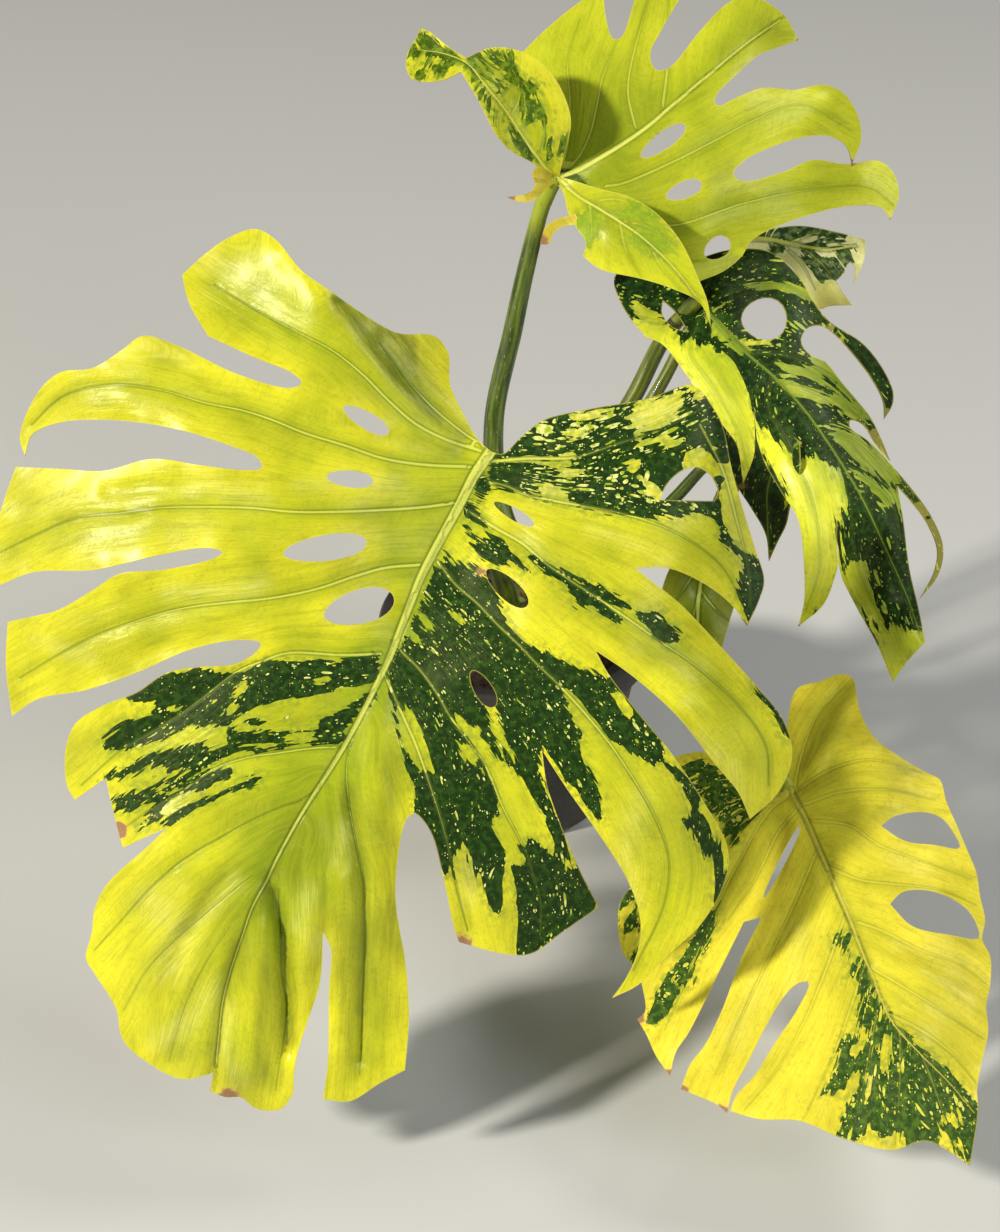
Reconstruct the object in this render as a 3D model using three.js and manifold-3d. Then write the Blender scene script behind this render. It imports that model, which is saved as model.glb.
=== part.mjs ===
import * as THREE from 'three';
import Module from 'manifold-3d';
import { mergeVertices } from 'three/addons/utils/BufferGeometryUtils.js';

const wasm = await Module();
wasm.setup();

// Driving dimensions in millimetres. The origin is the middle of the pot's underside, +Z is up.
const POT_HEIGHT = 130;
const POT_RIM_RADIUS = 84;
const POT_BASE_RADIUS = 58;
const POT_WALL = 6;
const POT_FLOOR = 9;
const POT_BAND = 22;
const DRAIN_RADIUS = 5;
const DRAIN_CIRCLE = 34;
const SOIL_TOP = 114;
const BARK_CHIPS = 34;
const STEM_RADIUS = 12.5;
const STEM_BOTTOM = 62;
const STEM_TOP = 182;
const BLADE_THICKNESS = 1.1;
const GAP = 0.3;

// Blades are drawn on a square grid as they look from the point EYE, which looks down on the plant.
// A grid step is GRID_STEP wide on the plane SHEET away from the eye, where the front blade lies.
const SIGHT = new THREE.Vector3(-10, 0, 130);
const EYE_DISTANCE = 1520;
const EYE_PITCH = THREE.MathUtils.degToRad(35);
const SHEET = 1250;
const GRID_STEP = 0.5;
const GRID_MIDDLE = [500, 616];

const FORWARD = new THREE.Vector3(0, Math.cos(EYE_PITCH), -Math.sin(EYE_PITCH));
const UPWARD = new THREE.Vector3(0, Math.sin(EYE_PITCH), Math.cos(EYE_PITCH));
const EYE = SIGHT.clone().addScaledVector(FORWARD, -EYE_DISTANCE);

// Spacing of the points on a blade, in grid steps.
const EDGE_SPACING = 17;
const INNER_SPACING = 27;

const LIME = 0xcdd02c;
const DARK_GREEN = 0x1f4a1c;
const CREAM = 0xd9d9a0;
const OLIVE = 0x8d9a20;
const PETIOLE_GREEN = 0x5f7a1c;

function place(x, y, depth) {
  const scale = GRID_STEP * depth / SHEET;
  const point = EYE.clone().addScaledVector(FORWARD, depth);
  point.x += (x - GRID_MIDDLE[0]) * scale;
  return point.addScaledVector(UPWARD, (GRID_MIDDLE[1] - y) * scale);
}

// A value in 0..1 that belongs to the number i.
function scatter(i) {
  const value = Math.sin(i * 12.9898) * 43758.5453;
  return value - Math.floor(value);
}

function toManifold(geometry) {
  const bare = geometry.clone();
  bare.deleteAttribute('normal');
  bare.deleteAttribute('uv');
  const merged = mergeVertices(bare, 1e-4);
  return new wasm.Manifold(new wasm.Mesh({
    numProp: 3,
    vertProperties: new Float32Array(merged.attributes.position.array),
    triVerts: new Uint32Array(merged.index.array),
  }));
}

function toGeometry(solid) {
  const mesh = solid.getMesh();
  const geometry = new THREE.BufferGeometry();
  geometry.setAttribute('position', new THREE.BufferAttribute(new Float32Array(mesh.vertProperties), 3));
  geometry.setIndex(new THREE.BufferAttribute(new Uint32Array(mesh.triVerts), 1));
  return geometry;
}

function largestPiece(solid) {
  const pieces = solid.decompose();
  pieces.sort((a, b) => b.volume() - a.volume());
  return pieces[0];
}

// Solves the square system matrix * weights = values.
function solve(matrix, values) {
  const n = values.length;
  const rows = matrix.map((row, i) => [...row, values[i]]);
  for (let column = 0; column < n; column += 1) {
    let pivot = column;
    for (let r = column + 1; r < n; r += 1) {
      if (Math.abs(rows[r][column]) > Math.abs(rows[pivot][column])) pivot = r;
    }
    [rows[column], rows[pivot]] = [rows[pivot], rows[column]];
    for (let r = column + 1; r < n; r += 1) {
      const factor = rows[r][column] / rows[column][column];
      for (let c = column; c <= n; c += 1) rows[r][c] -= factor * rows[column][c];
    }
  }
  const weights = new Array(n).fill(0);
  for (let r = n - 1; r >= 0; r -= 1) {
    let sum = rows[r][n];
    for (let c = r + 1; c < n; c += 1) sum -= rows[r][c] * weights[c];
    weights[r] = sum / rows[r][r];
  }
  return weights;
}

// A blade's lift towards the eye: a thin plate bent through the handles [x, y, millimetres].
function bentPlate(handles) {
  const kernel = (dx, dy) => {
    const square = dx * dx + dy * dy;
    return square > 0 ? square * Math.log(square) : 0;
  };
  const n = handles.length;
  const matrix = handles.map(([x, y]) => (
    [...handles.map(([hx, hy]) => kernel((x - hx) / 100, (y - hy) / 100)), 1, x / 100, y / 100]
  ));
  matrix.push([...handles.map(() => 1), 0, 0, 0]);
  matrix.push([...handles.map(([x]) => x / 100), 0, 0, 0]);
  matrix.push([...handles.map(([, y]) => y / 100), 0, 0, 0]);
  const weights = solve(matrix, [...handles.map(([, , lift]) => lift), 0, 0, 0]);
  return (x, y) => {
    let lift = weights[n] + weights[n + 1] * x / 100 + weights[n + 2] * y / 100;
    handles.forEach(([hx, hy], i) => {
      lift += weights[i] * kernel((x - hx) / 100, (y - hy) / 100);
    });
    return lift;
  };
}

// Signed distance from a polyline, positive on the right of its direction on the grid. Nearest to
// a corner, the side is that of the segment which the point stands off more squarely.
function besideLine(line, x, y) {
  let best = Infinity;
  let square = 0;
  for (let i = 0; i + 1 < line.length; i += 1) {
    const [ax, ay] = line[i];
    const dx = line[i + 1][0] - ax;
    const dy = line[i + 1][1] - ay;
    const t = THREE.MathUtils.clamp(((x - ax) * dx + (y - ay) * dy) / (dx * dx + dy * dy), 0, 1);
    const away = Math.hypot(x - ax - t * dx, y - ay - t * dy);
    const off = (dx * (y - ay) - dy * (x - ax)) / Math.hypot(dx, dy);
    const tie = Math.abs(away - best) < 1e-6 && Math.abs(off) > Math.abs(square);
    if (away < best - 1e-6 || tie) {
      best = away;
      square = off;
    }
  }
  return best * (square < 0 ? -1 : 1);
}

function traceOutline(runs, spacing) {
  const points = [];
  runs.forEach((run) => {
    const curve = new THREE.CatmullRomCurve3(run.map(([x, y]) => new THREE.Vector3(x, y, 0)));
    const count = Math.max(1, Math.round(curve.getLength() / spacing));
    points.push(...curve.getSpacedPoints(count).slice(0, -1).map((p) => new THREE.Vector2(p.x, p.y)));
  });
  return points;
}

// An oval with its long side turned clockwise by tilt degrees.
function ovalHole([cx, cy, length, width, tilt]) {
  const turn = THREE.MathUtils.degToRad(tilt);
  const count = Math.max(8, Math.round(length / 7));
  const points = [];
  for (let i = 0; i < count; i += 1) {
    const angle = 2 * Math.PI * i / count;
    const along = Math.cos(angle) * length / 2;
    const across = Math.sin(angle) * width / 2;
    points.push(new THREE.Vector2(
      cx + along * Math.cos(turn) - across * Math.sin(turn),
      cy + along * Math.sin(turn) + across * Math.cos(turn),
    ));
  }
  return points;
}

function isInside(loop, x, y) {
  let inside = false;
  for (let i = 0, j = loop.length - 1; i < loop.length; j = i, i += 1) {
    const a = loop[i];
    const b = loop[j];
    if ((a.y > y) !== (b.y > y) && x < a.x + (b.x - a.x) * (y - a.y) / (b.y - a.y)) inside = !inside;
  }
  return inside;
}

function turnOf(a, b, c) {
  return (b.x - a.x) * (c.y - a.y) - (b.y - a.y) * (c.x - a.x);
}

// True if d lies in the circle through a, b and c, which turn the positive way.
function inCircle(a, b, c, d) {
  const [ax, ay, bx, by] = [a.x - d.x, a.y - d.y, b.x - d.x, b.y - d.y];
  const [cx, cy] = [c.x - d.x, c.y - d.y];
  const determinant = (ax * ax + ay * ay) * (bx * cy - cx * by)
    - (bx * bx + by * by) * (ax * cy - cx * ay)
    + (cx * cx + cy * cy) * (ax * by - bx * ay);
  return determinant > 1e-7;
}

// Splits an outline with holes and inner points into well-shaped triangles.
function triangulate(outline, holes, inner) {
  const points = [...outline, ...holes.flat(), ...inner];
  const faces = THREE.ShapeUtils.triangulateShape(outline, holes).map((face) => (
    turnOf(points[face[0]], points[face[1]], points[face[2]]) > 0 ? [...face] : [face[0], face[2], face[1]]
  ));
  const firstInner = points.length - inner.length;
  for (let p = firstInner; p < points.length; p += 1) {
    const home = faces.findIndex(([a, b, c]) => (
      turnOf(points[a], points[b], points[p]) > 1e-6
      && turnOf(points[b], points[c], points[p]) > 1e-6
      && turnOf(points[c], points[a], points[p]) > 1e-6
    ));
    if (home >= 0) {
      const [a, b, c] = faces[home];
      faces[home] = [a, b, p];
      faces.push([b, c, p], [c, a, p]);
    }
  }
  for (let sweep = 0, flips = 1; flips > 0 && sweep < 200; sweep += 1) {
    flips = 0;
    const owners = new Map();
    faces.forEach((face, i) => {
      for (let k = 0; k < 3; k += 1) owners.set(face[k] * 1e5 + face[(k + 1) % 3], i);
    });
    const changed = new Set();
    faces.forEach((face, i) => {
      for (let k = 0; k < 3 && !changed.has(i); k += 1) {
        const a = face[k];
        const b = face[(k + 1) % 3];
        const c = face[(k + 2) % 3];
        const other = owners.get(b * 1e5 + a);
        if (other === undefined || changed.has(other)) continue;
        const d = faces[other].find((vertex) => vertex !== a && vertex !== b);
        const convex = turnOf(points[c], points[a], points[d]) > 1e-6
          && turnOf(points[d], points[b], points[c]) > 1e-6;
        if (convex && inCircle(points[a], points[b], points[c], points[d])) {
          faces[i] = [c, a, d];
          faces[other] = [d, b, c];
          changed.add(i);
          changed.add(other);
          flips += 1;
        }
      }
    });
  }
  return { points, faces };
}

function innerPoints(outline, holes, spacing) {
  const loops = [outline, ...holes];
  const edge = loops.flat();
  const box = new THREE.Box2().setFromPoints(outline);
  const rowHeight = spacing * Math.sqrt(3) / 2;
  const points = [];
  for (let row = 0, y = box.min.y; y < box.max.y; row += 1, y += rowHeight) {
    for (let x = box.min.x + (row % 2) * spacing / 2; x < box.max.x; x += spacing) {
      const covered = isInside(outline, x, y) && !holes.some((hole) => isInside(hole, x, y));
      const roomy = covered && edge.every((p) => Math.hypot(p.x - x, p.y - y) > 0.55 * spacing);
      if (roomy) points.push(new THREE.Vector2(x, y));
    }
  }
  return points;
}

// A thin sheet: its grid outline, holes, handles and folds make one closed solid.
function sheetSolid(sheet, thickness) {
  const outline = traceOutline(sheet.outline, EDGE_SPACING);
  const holes = (sheet.holes ?? []).map(ovalHole);
  const cuts = (sheet.windows ?? []).map((runs) => traceOutline(runs, EDGE_SPACING));
  const openings = [...holes, ...cuts];
  const { points, faces } = triangulate(outline, openings, innerPoints(outline, openings, INNER_SPACING));
  const plate = bentPlate(sheet.lifts);
  const middle = points.map(({ x, y }) => {
    let lift = plate(x, y);
    (sheet.folds ?? []).forEach(({ line, drop }) => {
      lift -= drop * Math.max(0, besideLine(line, x, y));
    });
    return place(x, y, sheet.depth - lift);
  });
  const normals = middle.map(() => new THREE.Vector3());
  const facing = faces.map(([a, b, c]) => [a, c, b]);
  facing.forEach(([a, b, c]) => {
    const normal = middle[b].clone().sub(middle[a]).cross(middle[c].clone().sub(middle[a]));
    [a, b, c].forEach((vertex) => normals[vertex].add(normal));
  });
  normals.forEach((normal) => normal.normalize());
  const vertices = [];
  middle.forEach((point, i) => vertices.push(point.clone().addScaledVector(normals[i], thickness / 2)));
  middle.forEach((point, i) => vertices.push(point.clone().addScaledVector(normals[i], -thickness / 2)));
  const n = middle.length;
  const index = [];
  const edges = new Set();
  facing.forEach(([a, b, c]) => {
    index.push(a, b, c, c + n, b + n, a + n);
    [[a, b], [b, c], [c, a]].forEach(([from, to]) => edges.add(from * 1e5 + to));
  });
  edges.forEach((key) => {
    const from = Math.floor(key / 1e5);
    const to = key % 1e5;
    if (!edges.has(to * 1e5 + from)) index.push(to, from, from + n, to, from + n, to + n);
  });
  const geometry = new THREE.BufferGeometry().setFromPoints(vertices);
  geometry.setIndex(index);
  return toManifold(geometry);
}

function bladeSolid(sheets, thickness = BLADE_THICKNESS) {
  return sheets.map((sheet) => sheetSolid(sheet, thickness)).reduce((whole, sheet) => whole.add(sheet));
}

// A round stalk through world points, whose radii are spread evenly along it.
function stalkSolid(points, radii, segments = 18, sides = 8) {
  const curve = new THREE.CatmullRomCurve3(points);
  const frames = curve.computeFrenetFrames(segments, false);
  const vertices = [];
  for (let i = 0; i <= segments; i += 1) {
    const centre = curve.getPointAt(i / segments);
    const along = i / segments * (radii.length - 1);
    const first = Math.min(Math.floor(along), radii.length - 2);
    const radius = THREE.MathUtils.lerp(radii[first], radii[first + 1], along - first);
    for (let k = 0; k < sides; k += 1) {
      const angle = 2 * Math.PI * k / sides;
      vertices.push(centre.clone()
        .addScaledVector(frames.normals[i], radius * Math.cos(angle))
        .addScaledVector(frames.binormals[i], radius * Math.sin(angle)));
    }
  }
  vertices.push(curve.getPointAt(0), curve.getPointAt(1));
  const start = vertices.length - 2;
  const end = vertices.length - 1;
  const index = [];
  for (let k = 0; k < sides; k += 1) {
    const next = (k + 1) % sides;
    for (let i = 0; i < segments; i += 1) {
      const low = i * sides;
      const high = low + sides;
      index.push(low + k, low + next, high + next, low + k, high + next, high + k);
    }
    index.push(start, next, k, end, segments * sides + k, segments * sides + next);
  }
  const geometry = new THREE.BufferGeometry().setFromPoints(vertices);
  geometry.setIndex(index);
  return toManifold(geometry);
}

const plant = new THREE.Group();

function addPart(name, solid, colour, roughness) {
  const material = new THREE.MeshStandardMaterial({ color: colour, roughness, metalness: 0 });
  const mesh = new THREE.Mesh(toGeometry(solid), material);
  mesh.name = name;
  plant.add(mesh);
}

function turned(profile, segments) {
  const geometry = new THREE.LatheGeometry(profile.map(([r, z]) => new THREE.Vector2(r, z)), segments);
  geometry.rotateX(Math.PI / 2);
  return toManifold(geometry);
}

// Front blade: split lobes round a midrib that runs from the stalk down to the left.
const frontSheet = {
  depth: SHEET,
  outline: [
    [[492, 452], [479, 441], [463, 413], [450, 385], [448, 353], [434, 336], [397, 333], [360, 312],
      [330, 291], [301, 270], [276, 240], [256, 229], [230, 237], [205, 254], [182, 275]],
    [[182, 275], [189, 303], [208, 336]],
    [[208, 336], [256, 358], [292, 373], [302, 383], [290, 388], [237, 374], [180, 347], [143, 336],
      [122, 350], [93, 368], [61, 372], [42, 387], [26, 415], [20, 438], [25, 456]],
    [[25, 456], [32, 435], [58, 423], [112, 420], [176, 429], [231, 446], [258, 458], [262, 468],
      [244, 470], [199, 465], [152, 459], [103, 471], [64, 469], [16, 467]],
    [[16, 467], [6, 495], [-4, 530], [-8, 560], [0, 585]],
    [[0, 585], [35, 572], [93, 570], [160, 555], [205, 548], [223, 552], [212, 559], [160, 570],
      [119, 574], [93, 590], [58, 610], [30, 617], [8, 622]],
    [[8, 622], [6, 665], [12, 716]],
    [[12, 716], [38, 699], [86, 690], [138, 672], [192, 649], [240, 640], [261, 643], [256, 652],
      [235, 664], [198, 667], [166, 673], [137, 692], [102, 706], [76, 723], [66, 748], [67, 785],
      [75, 800]],
    [[75, 800], [89, 790], [106, 778]],
    [[106, 778], [112, 806], [123, 848]],
    [[123, 848], [146, 837], [167, 828]],
    [[167, 828], [146, 848], [108, 883], [95, 908], [92, 932], [86, 958], [95, 974], [116, 1008],
      [123, 1040], [150, 1064], [183, 1079], [213, 1073]],
    [[213, 1073], [210, 1091]],
    [[210, 1091], [226, 1097], [241, 1097], [255, 1108], [281, 1109], [293, 1094]],
    [[293, 1094], [296, 1060], [308, 1020], [320, 982], [323, 932]],
    [[323, 932], [331, 950], [329, 988], [328, 1060], [323, 1099]],
    [[323, 1099], [350, 1101], [380, 1083], [405, 1070]],
    [[405, 1070], [409, 1014], [405, 960], [396, 905], [397, 865], [406, 820], [414, 813],
      [430, 831], [443, 876], [454, 928], [459, 942]],
    [[459, 942], [500, 953], [530, 954], [564, 931], [599, 907]],
    [[599, 907], [579, 868], [557, 815], [547, 785], [542, 750]],
    [[542, 750], [563, 783], [603, 840], [628, 881], [640, 917], [638, 950], [626, 978], [612, 998]],
    [[612, 998], [638, 985], [669, 954], [700, 925], [723, 886], [728, 850], [700, 796], [669, 750],
      [638, 712], [608, 673], [596, 651]],
    [[596, 651], [631, 675], [677, 716], [715, 764], [738, 792], [750, 819]],
    [[750, 819], [779, 791], [792, 755], [783, 720], [756, 686], [718, 644], [679, 603], [650, 580],
      [635, 568]],
    [[635, 568], [667, 568], [703, 583], [733, 606], [747, 626]],
    [[747, 626], [759, 600], [764, 580], [755, 549], [740, 500], [731, 467], [722, 425], [705, 395]],
    [[705, 395], [692, 385], [646, 399], [590, 409], [544, 420], [520, 438], [503, 454], [492, 452]],
  ],
  holes: [
    [366, 420, 52, 17, 30], [350, 479, 47, 17, 6], [325, 548, 84, 26, -8], [359, 607, 72, 34, -15],
    [514, 514, 46, 12, 30], [507, 588, 54, 21, 42], [483, 689, 42, 18, 58],
  ],
  windows: [[[[660, 500], [666, 486], [680, 472], [696, 467], [711, 476], [718, 492], [714, 501]],
    [[714, 501], [660, 500]]]],
  folds: [
    { line: [[560, 150], [493, 448], [472, 436], [400, 390], [330, 310], [300, 268], [262, 222],
      [200, 150]], drop: 0.42 },
    { line: [[900, 700], [756, 632], [744, 590], [731, 544], [718, 493], [718, 426], [708, 398],
      [690, 330]], drop: 0.9 },
  ],
  lifts: [
    [492, 455, 0], [449, 524, 4], [399, 633, 10], [345, 745, 13], [297, 822, 11], [252, 908, 3],
    [222, 1005, -8], [214, 1072, -18],
    [400, 390, 9], [330, 310, 12], [270, 240, 0], [205, 254, -6], [188, 300, -8], [250, 330, 4],
    [346, 446, 16], [205, 403, 18], [109, 385, 8], [30, 430, -14], [150, 345, 6], [120, 440, 6],
    [336, 512, 22], [205, 507, 21], [90, 518, 6], [-2, 545, -18],
    [317, 589, 22], [180, 609, 18], [80, 643, 3], [12, 700, -20],
    [288, 653, 20], [182, 713, 12], [110, 740, 0], [76, 790, -20],
    [278, 753, 17], [182, 790, 10], [118, 820, -4],
    [220, 838, 10], [156, 883, 4], [92, 945, -16], [201, 918, 2], [150, 966, -8], [120, 1024, -24],
    [160, 1069, -30], [348, 812, 10], [364, 908, 1], [364, 1010, -18], [328, 1095, -30], [400, 1068, -28],
    [280, 934, -2], [288, 1005, -13], [262, 1105, -34],
    [438, 695, 15], [503, 807, 10], [540, 890, -8], [462, 940, -22], [526, 952, -26], [596, 905, -20],
    [497, 624, 16], [590, 719, 20], [656, 819, 8], [612, 996, -26], [638, 930, -14], [727, 860, -18],
    [544, 562, 16], [631, 621, 22], [715, 695, 14], [750, 815, -22], [790, 755, -24],
    [600, 509, 10], [682, 536, 8], [745, 622, -22], [700, 440, -4],
    [574, 458, 3], [618, 444, 0], [640, 402, -10], [692, 388, -16], [544, 424, -4],
  ],
};

// Top blade: a fan of lobes, a curled lobe on its left, a lobe hanging in front and two torn sheaths.
const topDepth = 1430;
const topSheets = [
  {
    depth: topDepth,
    outline: [
      [[552, 178], [540, 140], [528, 90], [523, 52]],
      [[523, 52], [542, 33], [569, 10], [603, -14]],
      [[603, -14], [606, 18], [613, 39], [621, 38], [634, 2], [645, -28], [664, -50]],
      [[664, -50], [684, -46], [700, -34]],
      [[700, -34], [676, 5], [661, 31], [650, 55], [656, 70], [669, 68], [700, 31], [728, 3],
        [748, -4], [768, 3], [786, 18], [798, 40]],
      [[798, 40], [779, 47]],
      [[779, 47], [759, 55], [735, 76], [715, 98], [717, 106], [738, 97], [762, 88], [793, 90],
        [824, 85], [843, 93], [857, 114], [861, 138], [852, 164]],
      [[852, 164], [846, 146], [828, 136], [800, 138], [769, 148], [745, 160], [733, 174], [742, 181],
        [783, 172], [812, 160], [845, 164], [878, 161], [892, 171], [899, 195], [890, 220]],
      [[890, 220], [882, 208], [850, 206], [800, 218], [752, 240], [742, 256], [724, 271], [700, 281]],
      [[700, 281], [670, 262], [630, 232], [590, 203], [562, 190], [552, 178]],
    ],
    holes: [[663, 141, 54, 17, -36], [684, 190, 38, 17, -22], [717, 248, 29, 21, -35]],
    lifts: [
      [552, 178, 0], [600, 150, 8], [660, 170, 10], [700, 230, 6], [587, 90, 2], [530, 60, -18],
      [603, -10, -34], [640, 60, -4], [680, -40, -48], [704, 79, 2], [760, 30, -24], [796, 40, -40],
      [755, 120, 0], [830, 100, -22], [852, 160, -42], [745, 203, 2], [817, 185, -14], [890, 215, -40],
      [735, 255, -8], [700, 278, -6], [620, 225, 2],
    ],
  },
  {
    depth: topDepth,
    outline: [
      [[558, 181], [563, 160], [571, 122], [563, 93], [547, 68], [528, 54], [500, 47], [483, 50],
        [466, 58]],
      [[466, 58], [445, 44], [430, 32], [420, 28]],
      [[420, 28], [416, 38], [408, 52], [406, 68], [412, 79], [428, 82], [444, 80], [461, 72]],
      [[461, 72], [478, 100], [497, 136], [512, 152], [534, 164], [545, 177], [558, 181]],
    ],
    lifts: [
      [558, 181, -1], [550, 172, 3], [571, 122, 34], [563, 93, 38], [528, 54, 34], [500, 47, 30],
      [466, 58, 24], [461, 71, 26], [478, 100, 30], [497, 136, 24], [530, 160, 10], [520, 100, 18],
      [535, 130, 15], [430, 32, 8], [408, 60, 14], [425, 80, 26], [440, 60, 14],
    ],
  },
  {
    depth: topDepth,
    outline: [
      [[556, 176], [575, 181], [600, 189], [630, 197], [655, 212], [680, 240], [697, 275],
        [708, 303], [711, 327]],
      [[711, 327], [700, 303], [673, 289], [642, 279], [600, 269], [583, 256]],
      [[583, 256], [586, 243], [575, 226], [568, 212], [564, 195], [556, 176]],
    ],
    lifts: [
      [556, 178, 2], [566, 190, 3], [600, 191, 16], [655, 214, 26], [697, 275, 28], [711, 327, 16],
      [640, 240, 30], [600, 230, 26], [583, 256, 18], [642, 279, 26], [568, 212, 10],
    ],
  },
  {
    depth: topDepth,
    outline: [
      [[558, 170], [540, 166], [532, 172], [535, 186], [526, 194], [507, 197]],
      [[507, 197], [520, 202], [533, 201], [545, 190], [558, 180]],
      [[558, 180], [558, 170]],
    ],
    lifts: [[558, 170, 1], [558, 180, 1], [538, 172, 7], [535, 190, 10], [507, 197, 12]],
  },
  {
    depth: topDepth,
    outline: [
      [[576, 214], [558, 219], [546, 226], [542, 236], [540, 244]],
      [[540, 244], [549, 244], [553, 234], [562, 227], [580, 224]],
      [[580, 224], [576, 214]],
    ],
    lifts: [[578, 214, 15], [580, 224, 16], [556, 223, 12], [545, 240, 10], [549, 228, 14]],
  },
];

// Right blade: hangs to the right, its left lobes curled forwards, long gaps in its right half.
const rightDepth = 1440;
const rightSheets = [
  {
    depth: rightDepth,
    outline: [
      [[690, 262], [730, 250], [770, 252], [798, 276], [814, 303], [830, 322], [862, 343], [881, 366],
        [893, 392], [892, 406], [884, 419]],
      [[884, 419], [883, 402], [872, 380], [855, 357], [834, 334], [822, 326], [808, 328],
        [801, 341], [809, 354], [825, 362], [842, 383], [858, 402], [870, 417], [880, 437], [890, 461]],
      [[890, 461], [876, 445], [862, 424], [850, 420], [850, 428], [868, 441], [892, 466], [914, 492],
        [932, 518], [943, 548], [938, 575], [919, 600]],
      [[919, 600], [934, 572], [937, 549], [926, 522], [912, 503], [897, 486]],
      [[897, 486], [903, 519], [909, 567], [919, 611], [925, 642]],
      [[925, 642], [906, 663], [893, 682]],
      [[893, 682], [876, 642], [858, 610], [843, 581]],
      [[843, 581], [838, 562], [836, 536], [838, 508], [836, 536], [838, 560], [834, 580],
        [823, 605], [798, 627]],
      [[798, 627], [804, 602], [804, 567], [798, 519], [782, 493], [765, 463], [757, 440]],
      [[757, 440], [754, 412]],
      [[754, 412], [755, 432], [754, 455], [743, 484]],
      [[743, 484], [737, 446], [721, 423], [702, 398], [680, 366], [662, 344], [646, 337]],
      [[646, 337], [632, 321], [619, 299], [614, 280], [624, 264], [650, 256], [690, 262]],
    ],
    holes: [[764, 319, 45, 42, 0]],
    windows: [[[[663, 301], [675, 312], [688, 332]], [[688, 332], [672, 327], [662, 313], [663, 301]]]],
    folds: [
      { line: [[700, 200], [722, 320], [742, 366], [721, 347], [692, 339], [660, 342], [646, 341],
        [600, 345]], drop: 0.5 },
    ],
    lifts: [
      [708, 300, 0], [745, 352, 12], [804, 410, 22], [861, 497, 34], [915, 620, 42], [893, 678, 30],
      [660, 345, 4], [692, 362, 14], [740, 420, 22], [745, 480, 10], [800, 480, 32], [820, 540, 30],
      [798, 622, 10], [845, 540, 26], [844, 580, 16], [795, 285, -12], [764, 319, -4], [890, 400, -34],
      [850, 400, 2], [888, 458, 6], [942, 548, 8], [920, 596, 18], [620, 290, -22], [650, 260, -26],
      [730, 255, -12], [900, 560, 38],
    ],
  },
  {
    depth: rightDepth,
    outline: [
      [[800, 442], [766, 412], [740, 386], [722, 374], [712, 382], [720, 410], [726, 450], [738, 487],
        [750, 506], [766, 535], [769, 561]],
      [[769, 561], [777, 543], [786, 525], [791, 503], [800, 475], [800, 442]],
    ],
    lifts: [
      [800, 444, 32], [798, 470, 33], [786, 448, 22], [766, 412, 6], [738, 384, -8], [715, 385, -22],
      [726, 450, -26], [738, 487, -28], [769, 561, -16], [791, 503, 6], [760, 470, -8],
    ],
  },
];

// Far blade: a small folded blade behind the top one.
const farSheets = [
  {
    depth: 1510,
    outline: [
      [[740, 232], [769, 229], [800, 226], [836, 232], [865, 240]],
      [[865, 240], [864, 260], [853, 284]],
      [[853, 284], [855, 266], [849, 262], [844, 273], [836, 281]],
      [[836, 281], [843, 293], [852, 305]],
      [[852, 305], [830, 306], [818, 309], [806, 293], [794, 270], [779, 258], [753, 252], [738, 244],
        [740, 232]],
    ],
    lifts: [
      [745, 240, 0], [800, 228, -16], [863, 242, -10], [853, 282, 6], [800, 262, 12], [845, 300, 16],
      [818, 306, 10], [820, 250, 4],
    ],
  },
];

// Low blade: hangs forwards at the lower right, its left lobes long and split.
const lowSheets = [
  {
    depth: 1340,
    outline: [
      [[790, 790], [787, 755], [788, 718], [797, 689], [818, 682], [843, 674], [853, 679], [859, 708],
        [873, 736], [900, 757], [925, 772], [940, 780], [946, 801], [957, 826], [967, 850], [976, 872],
        [980, 897], [985, 920], [982, 940], [990, 956], [990, 985], [986, 1005], [988, 1032],
        [981, 1065], [977, 1090], [978, 1112], [970, 1166]],
      [[970, 1166], [950, 1152], [925, 1141], [892, 1150], [842, 1138], [800, 1121], [758, 1119],
        [730, 1111]],
      [[730, 1111], [736, 1096], [755, 1075], [775, 1043], [797, 1010], [809, 982], [797, 984],
        [783, 998], [765, 1028], [748, 1062], [733, 1090], [727, 1113]],
      [[727, 1113], [716, 1104], [700, 1097], [681, 1089]],
      [[681, 1089], [690, 1065], [705, 1045], [722, 1010], [735, 975], [745, 950], [762, 917]],
      [[762, 917], [744, 922]],
      [[744, 922], [735, 940], [720, 970], [703, 1005], [688, 1034], [676, 1052], [670, 1076]],
      [[670, 1076], [656, 1056], [646, 1034], [637, 1019]],
      [[637, 1019], [645, 1012], [643, 990], [636, 968], [624, 955], [618, 928], [620, 903],
        [634, 880], [648, 830], [660, 785], [677, 756]],
      [[677, 756], [700, 752], [722, 757], [752, 772], [775, 790], [790, 790]],
    ],
    holes: [[782, 862, 80, 7, -63]],
    windows: [
      [[[881, 826], [893, 817], [920, 812], [940, 817], [952, 830], [960, 848], [935, 845],
        [905, 841], [881, 826]]],
      [[[890, 904], [903, 892], [930, 891], [956, 901], [972, 915], [979, 938], [950, 935],
        [912, 926], [890, 904]]],
    ],
    lifts: [
      [788, 787, 0], [832, 879, 24], [871, 973, 50], [920, 1054, 74], [968, 1160, 88], [855, 690, -22],
      [805, 700, -20], [870, 745, 2], [940, 785, 2], [900, 850, 18], [962, 850, 6], [930, 910, 30],
      [982, 925, 14], [940, 1000, 56], [988, 980, 36], [984, 1060, 62], [800, 1000, 50], [745, 930, 24],
      [700, 1085, 62], [670, 1070, 50], [640, 1015, 36], [622, 920, 6], [640, 850, -8], [690, 765, -22],
      [740, 800, -8], [760, 1112, 76], [842, 1132, 84], [900, 1145, 88], [720, 870, 6],
    ],
  },
];

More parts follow.
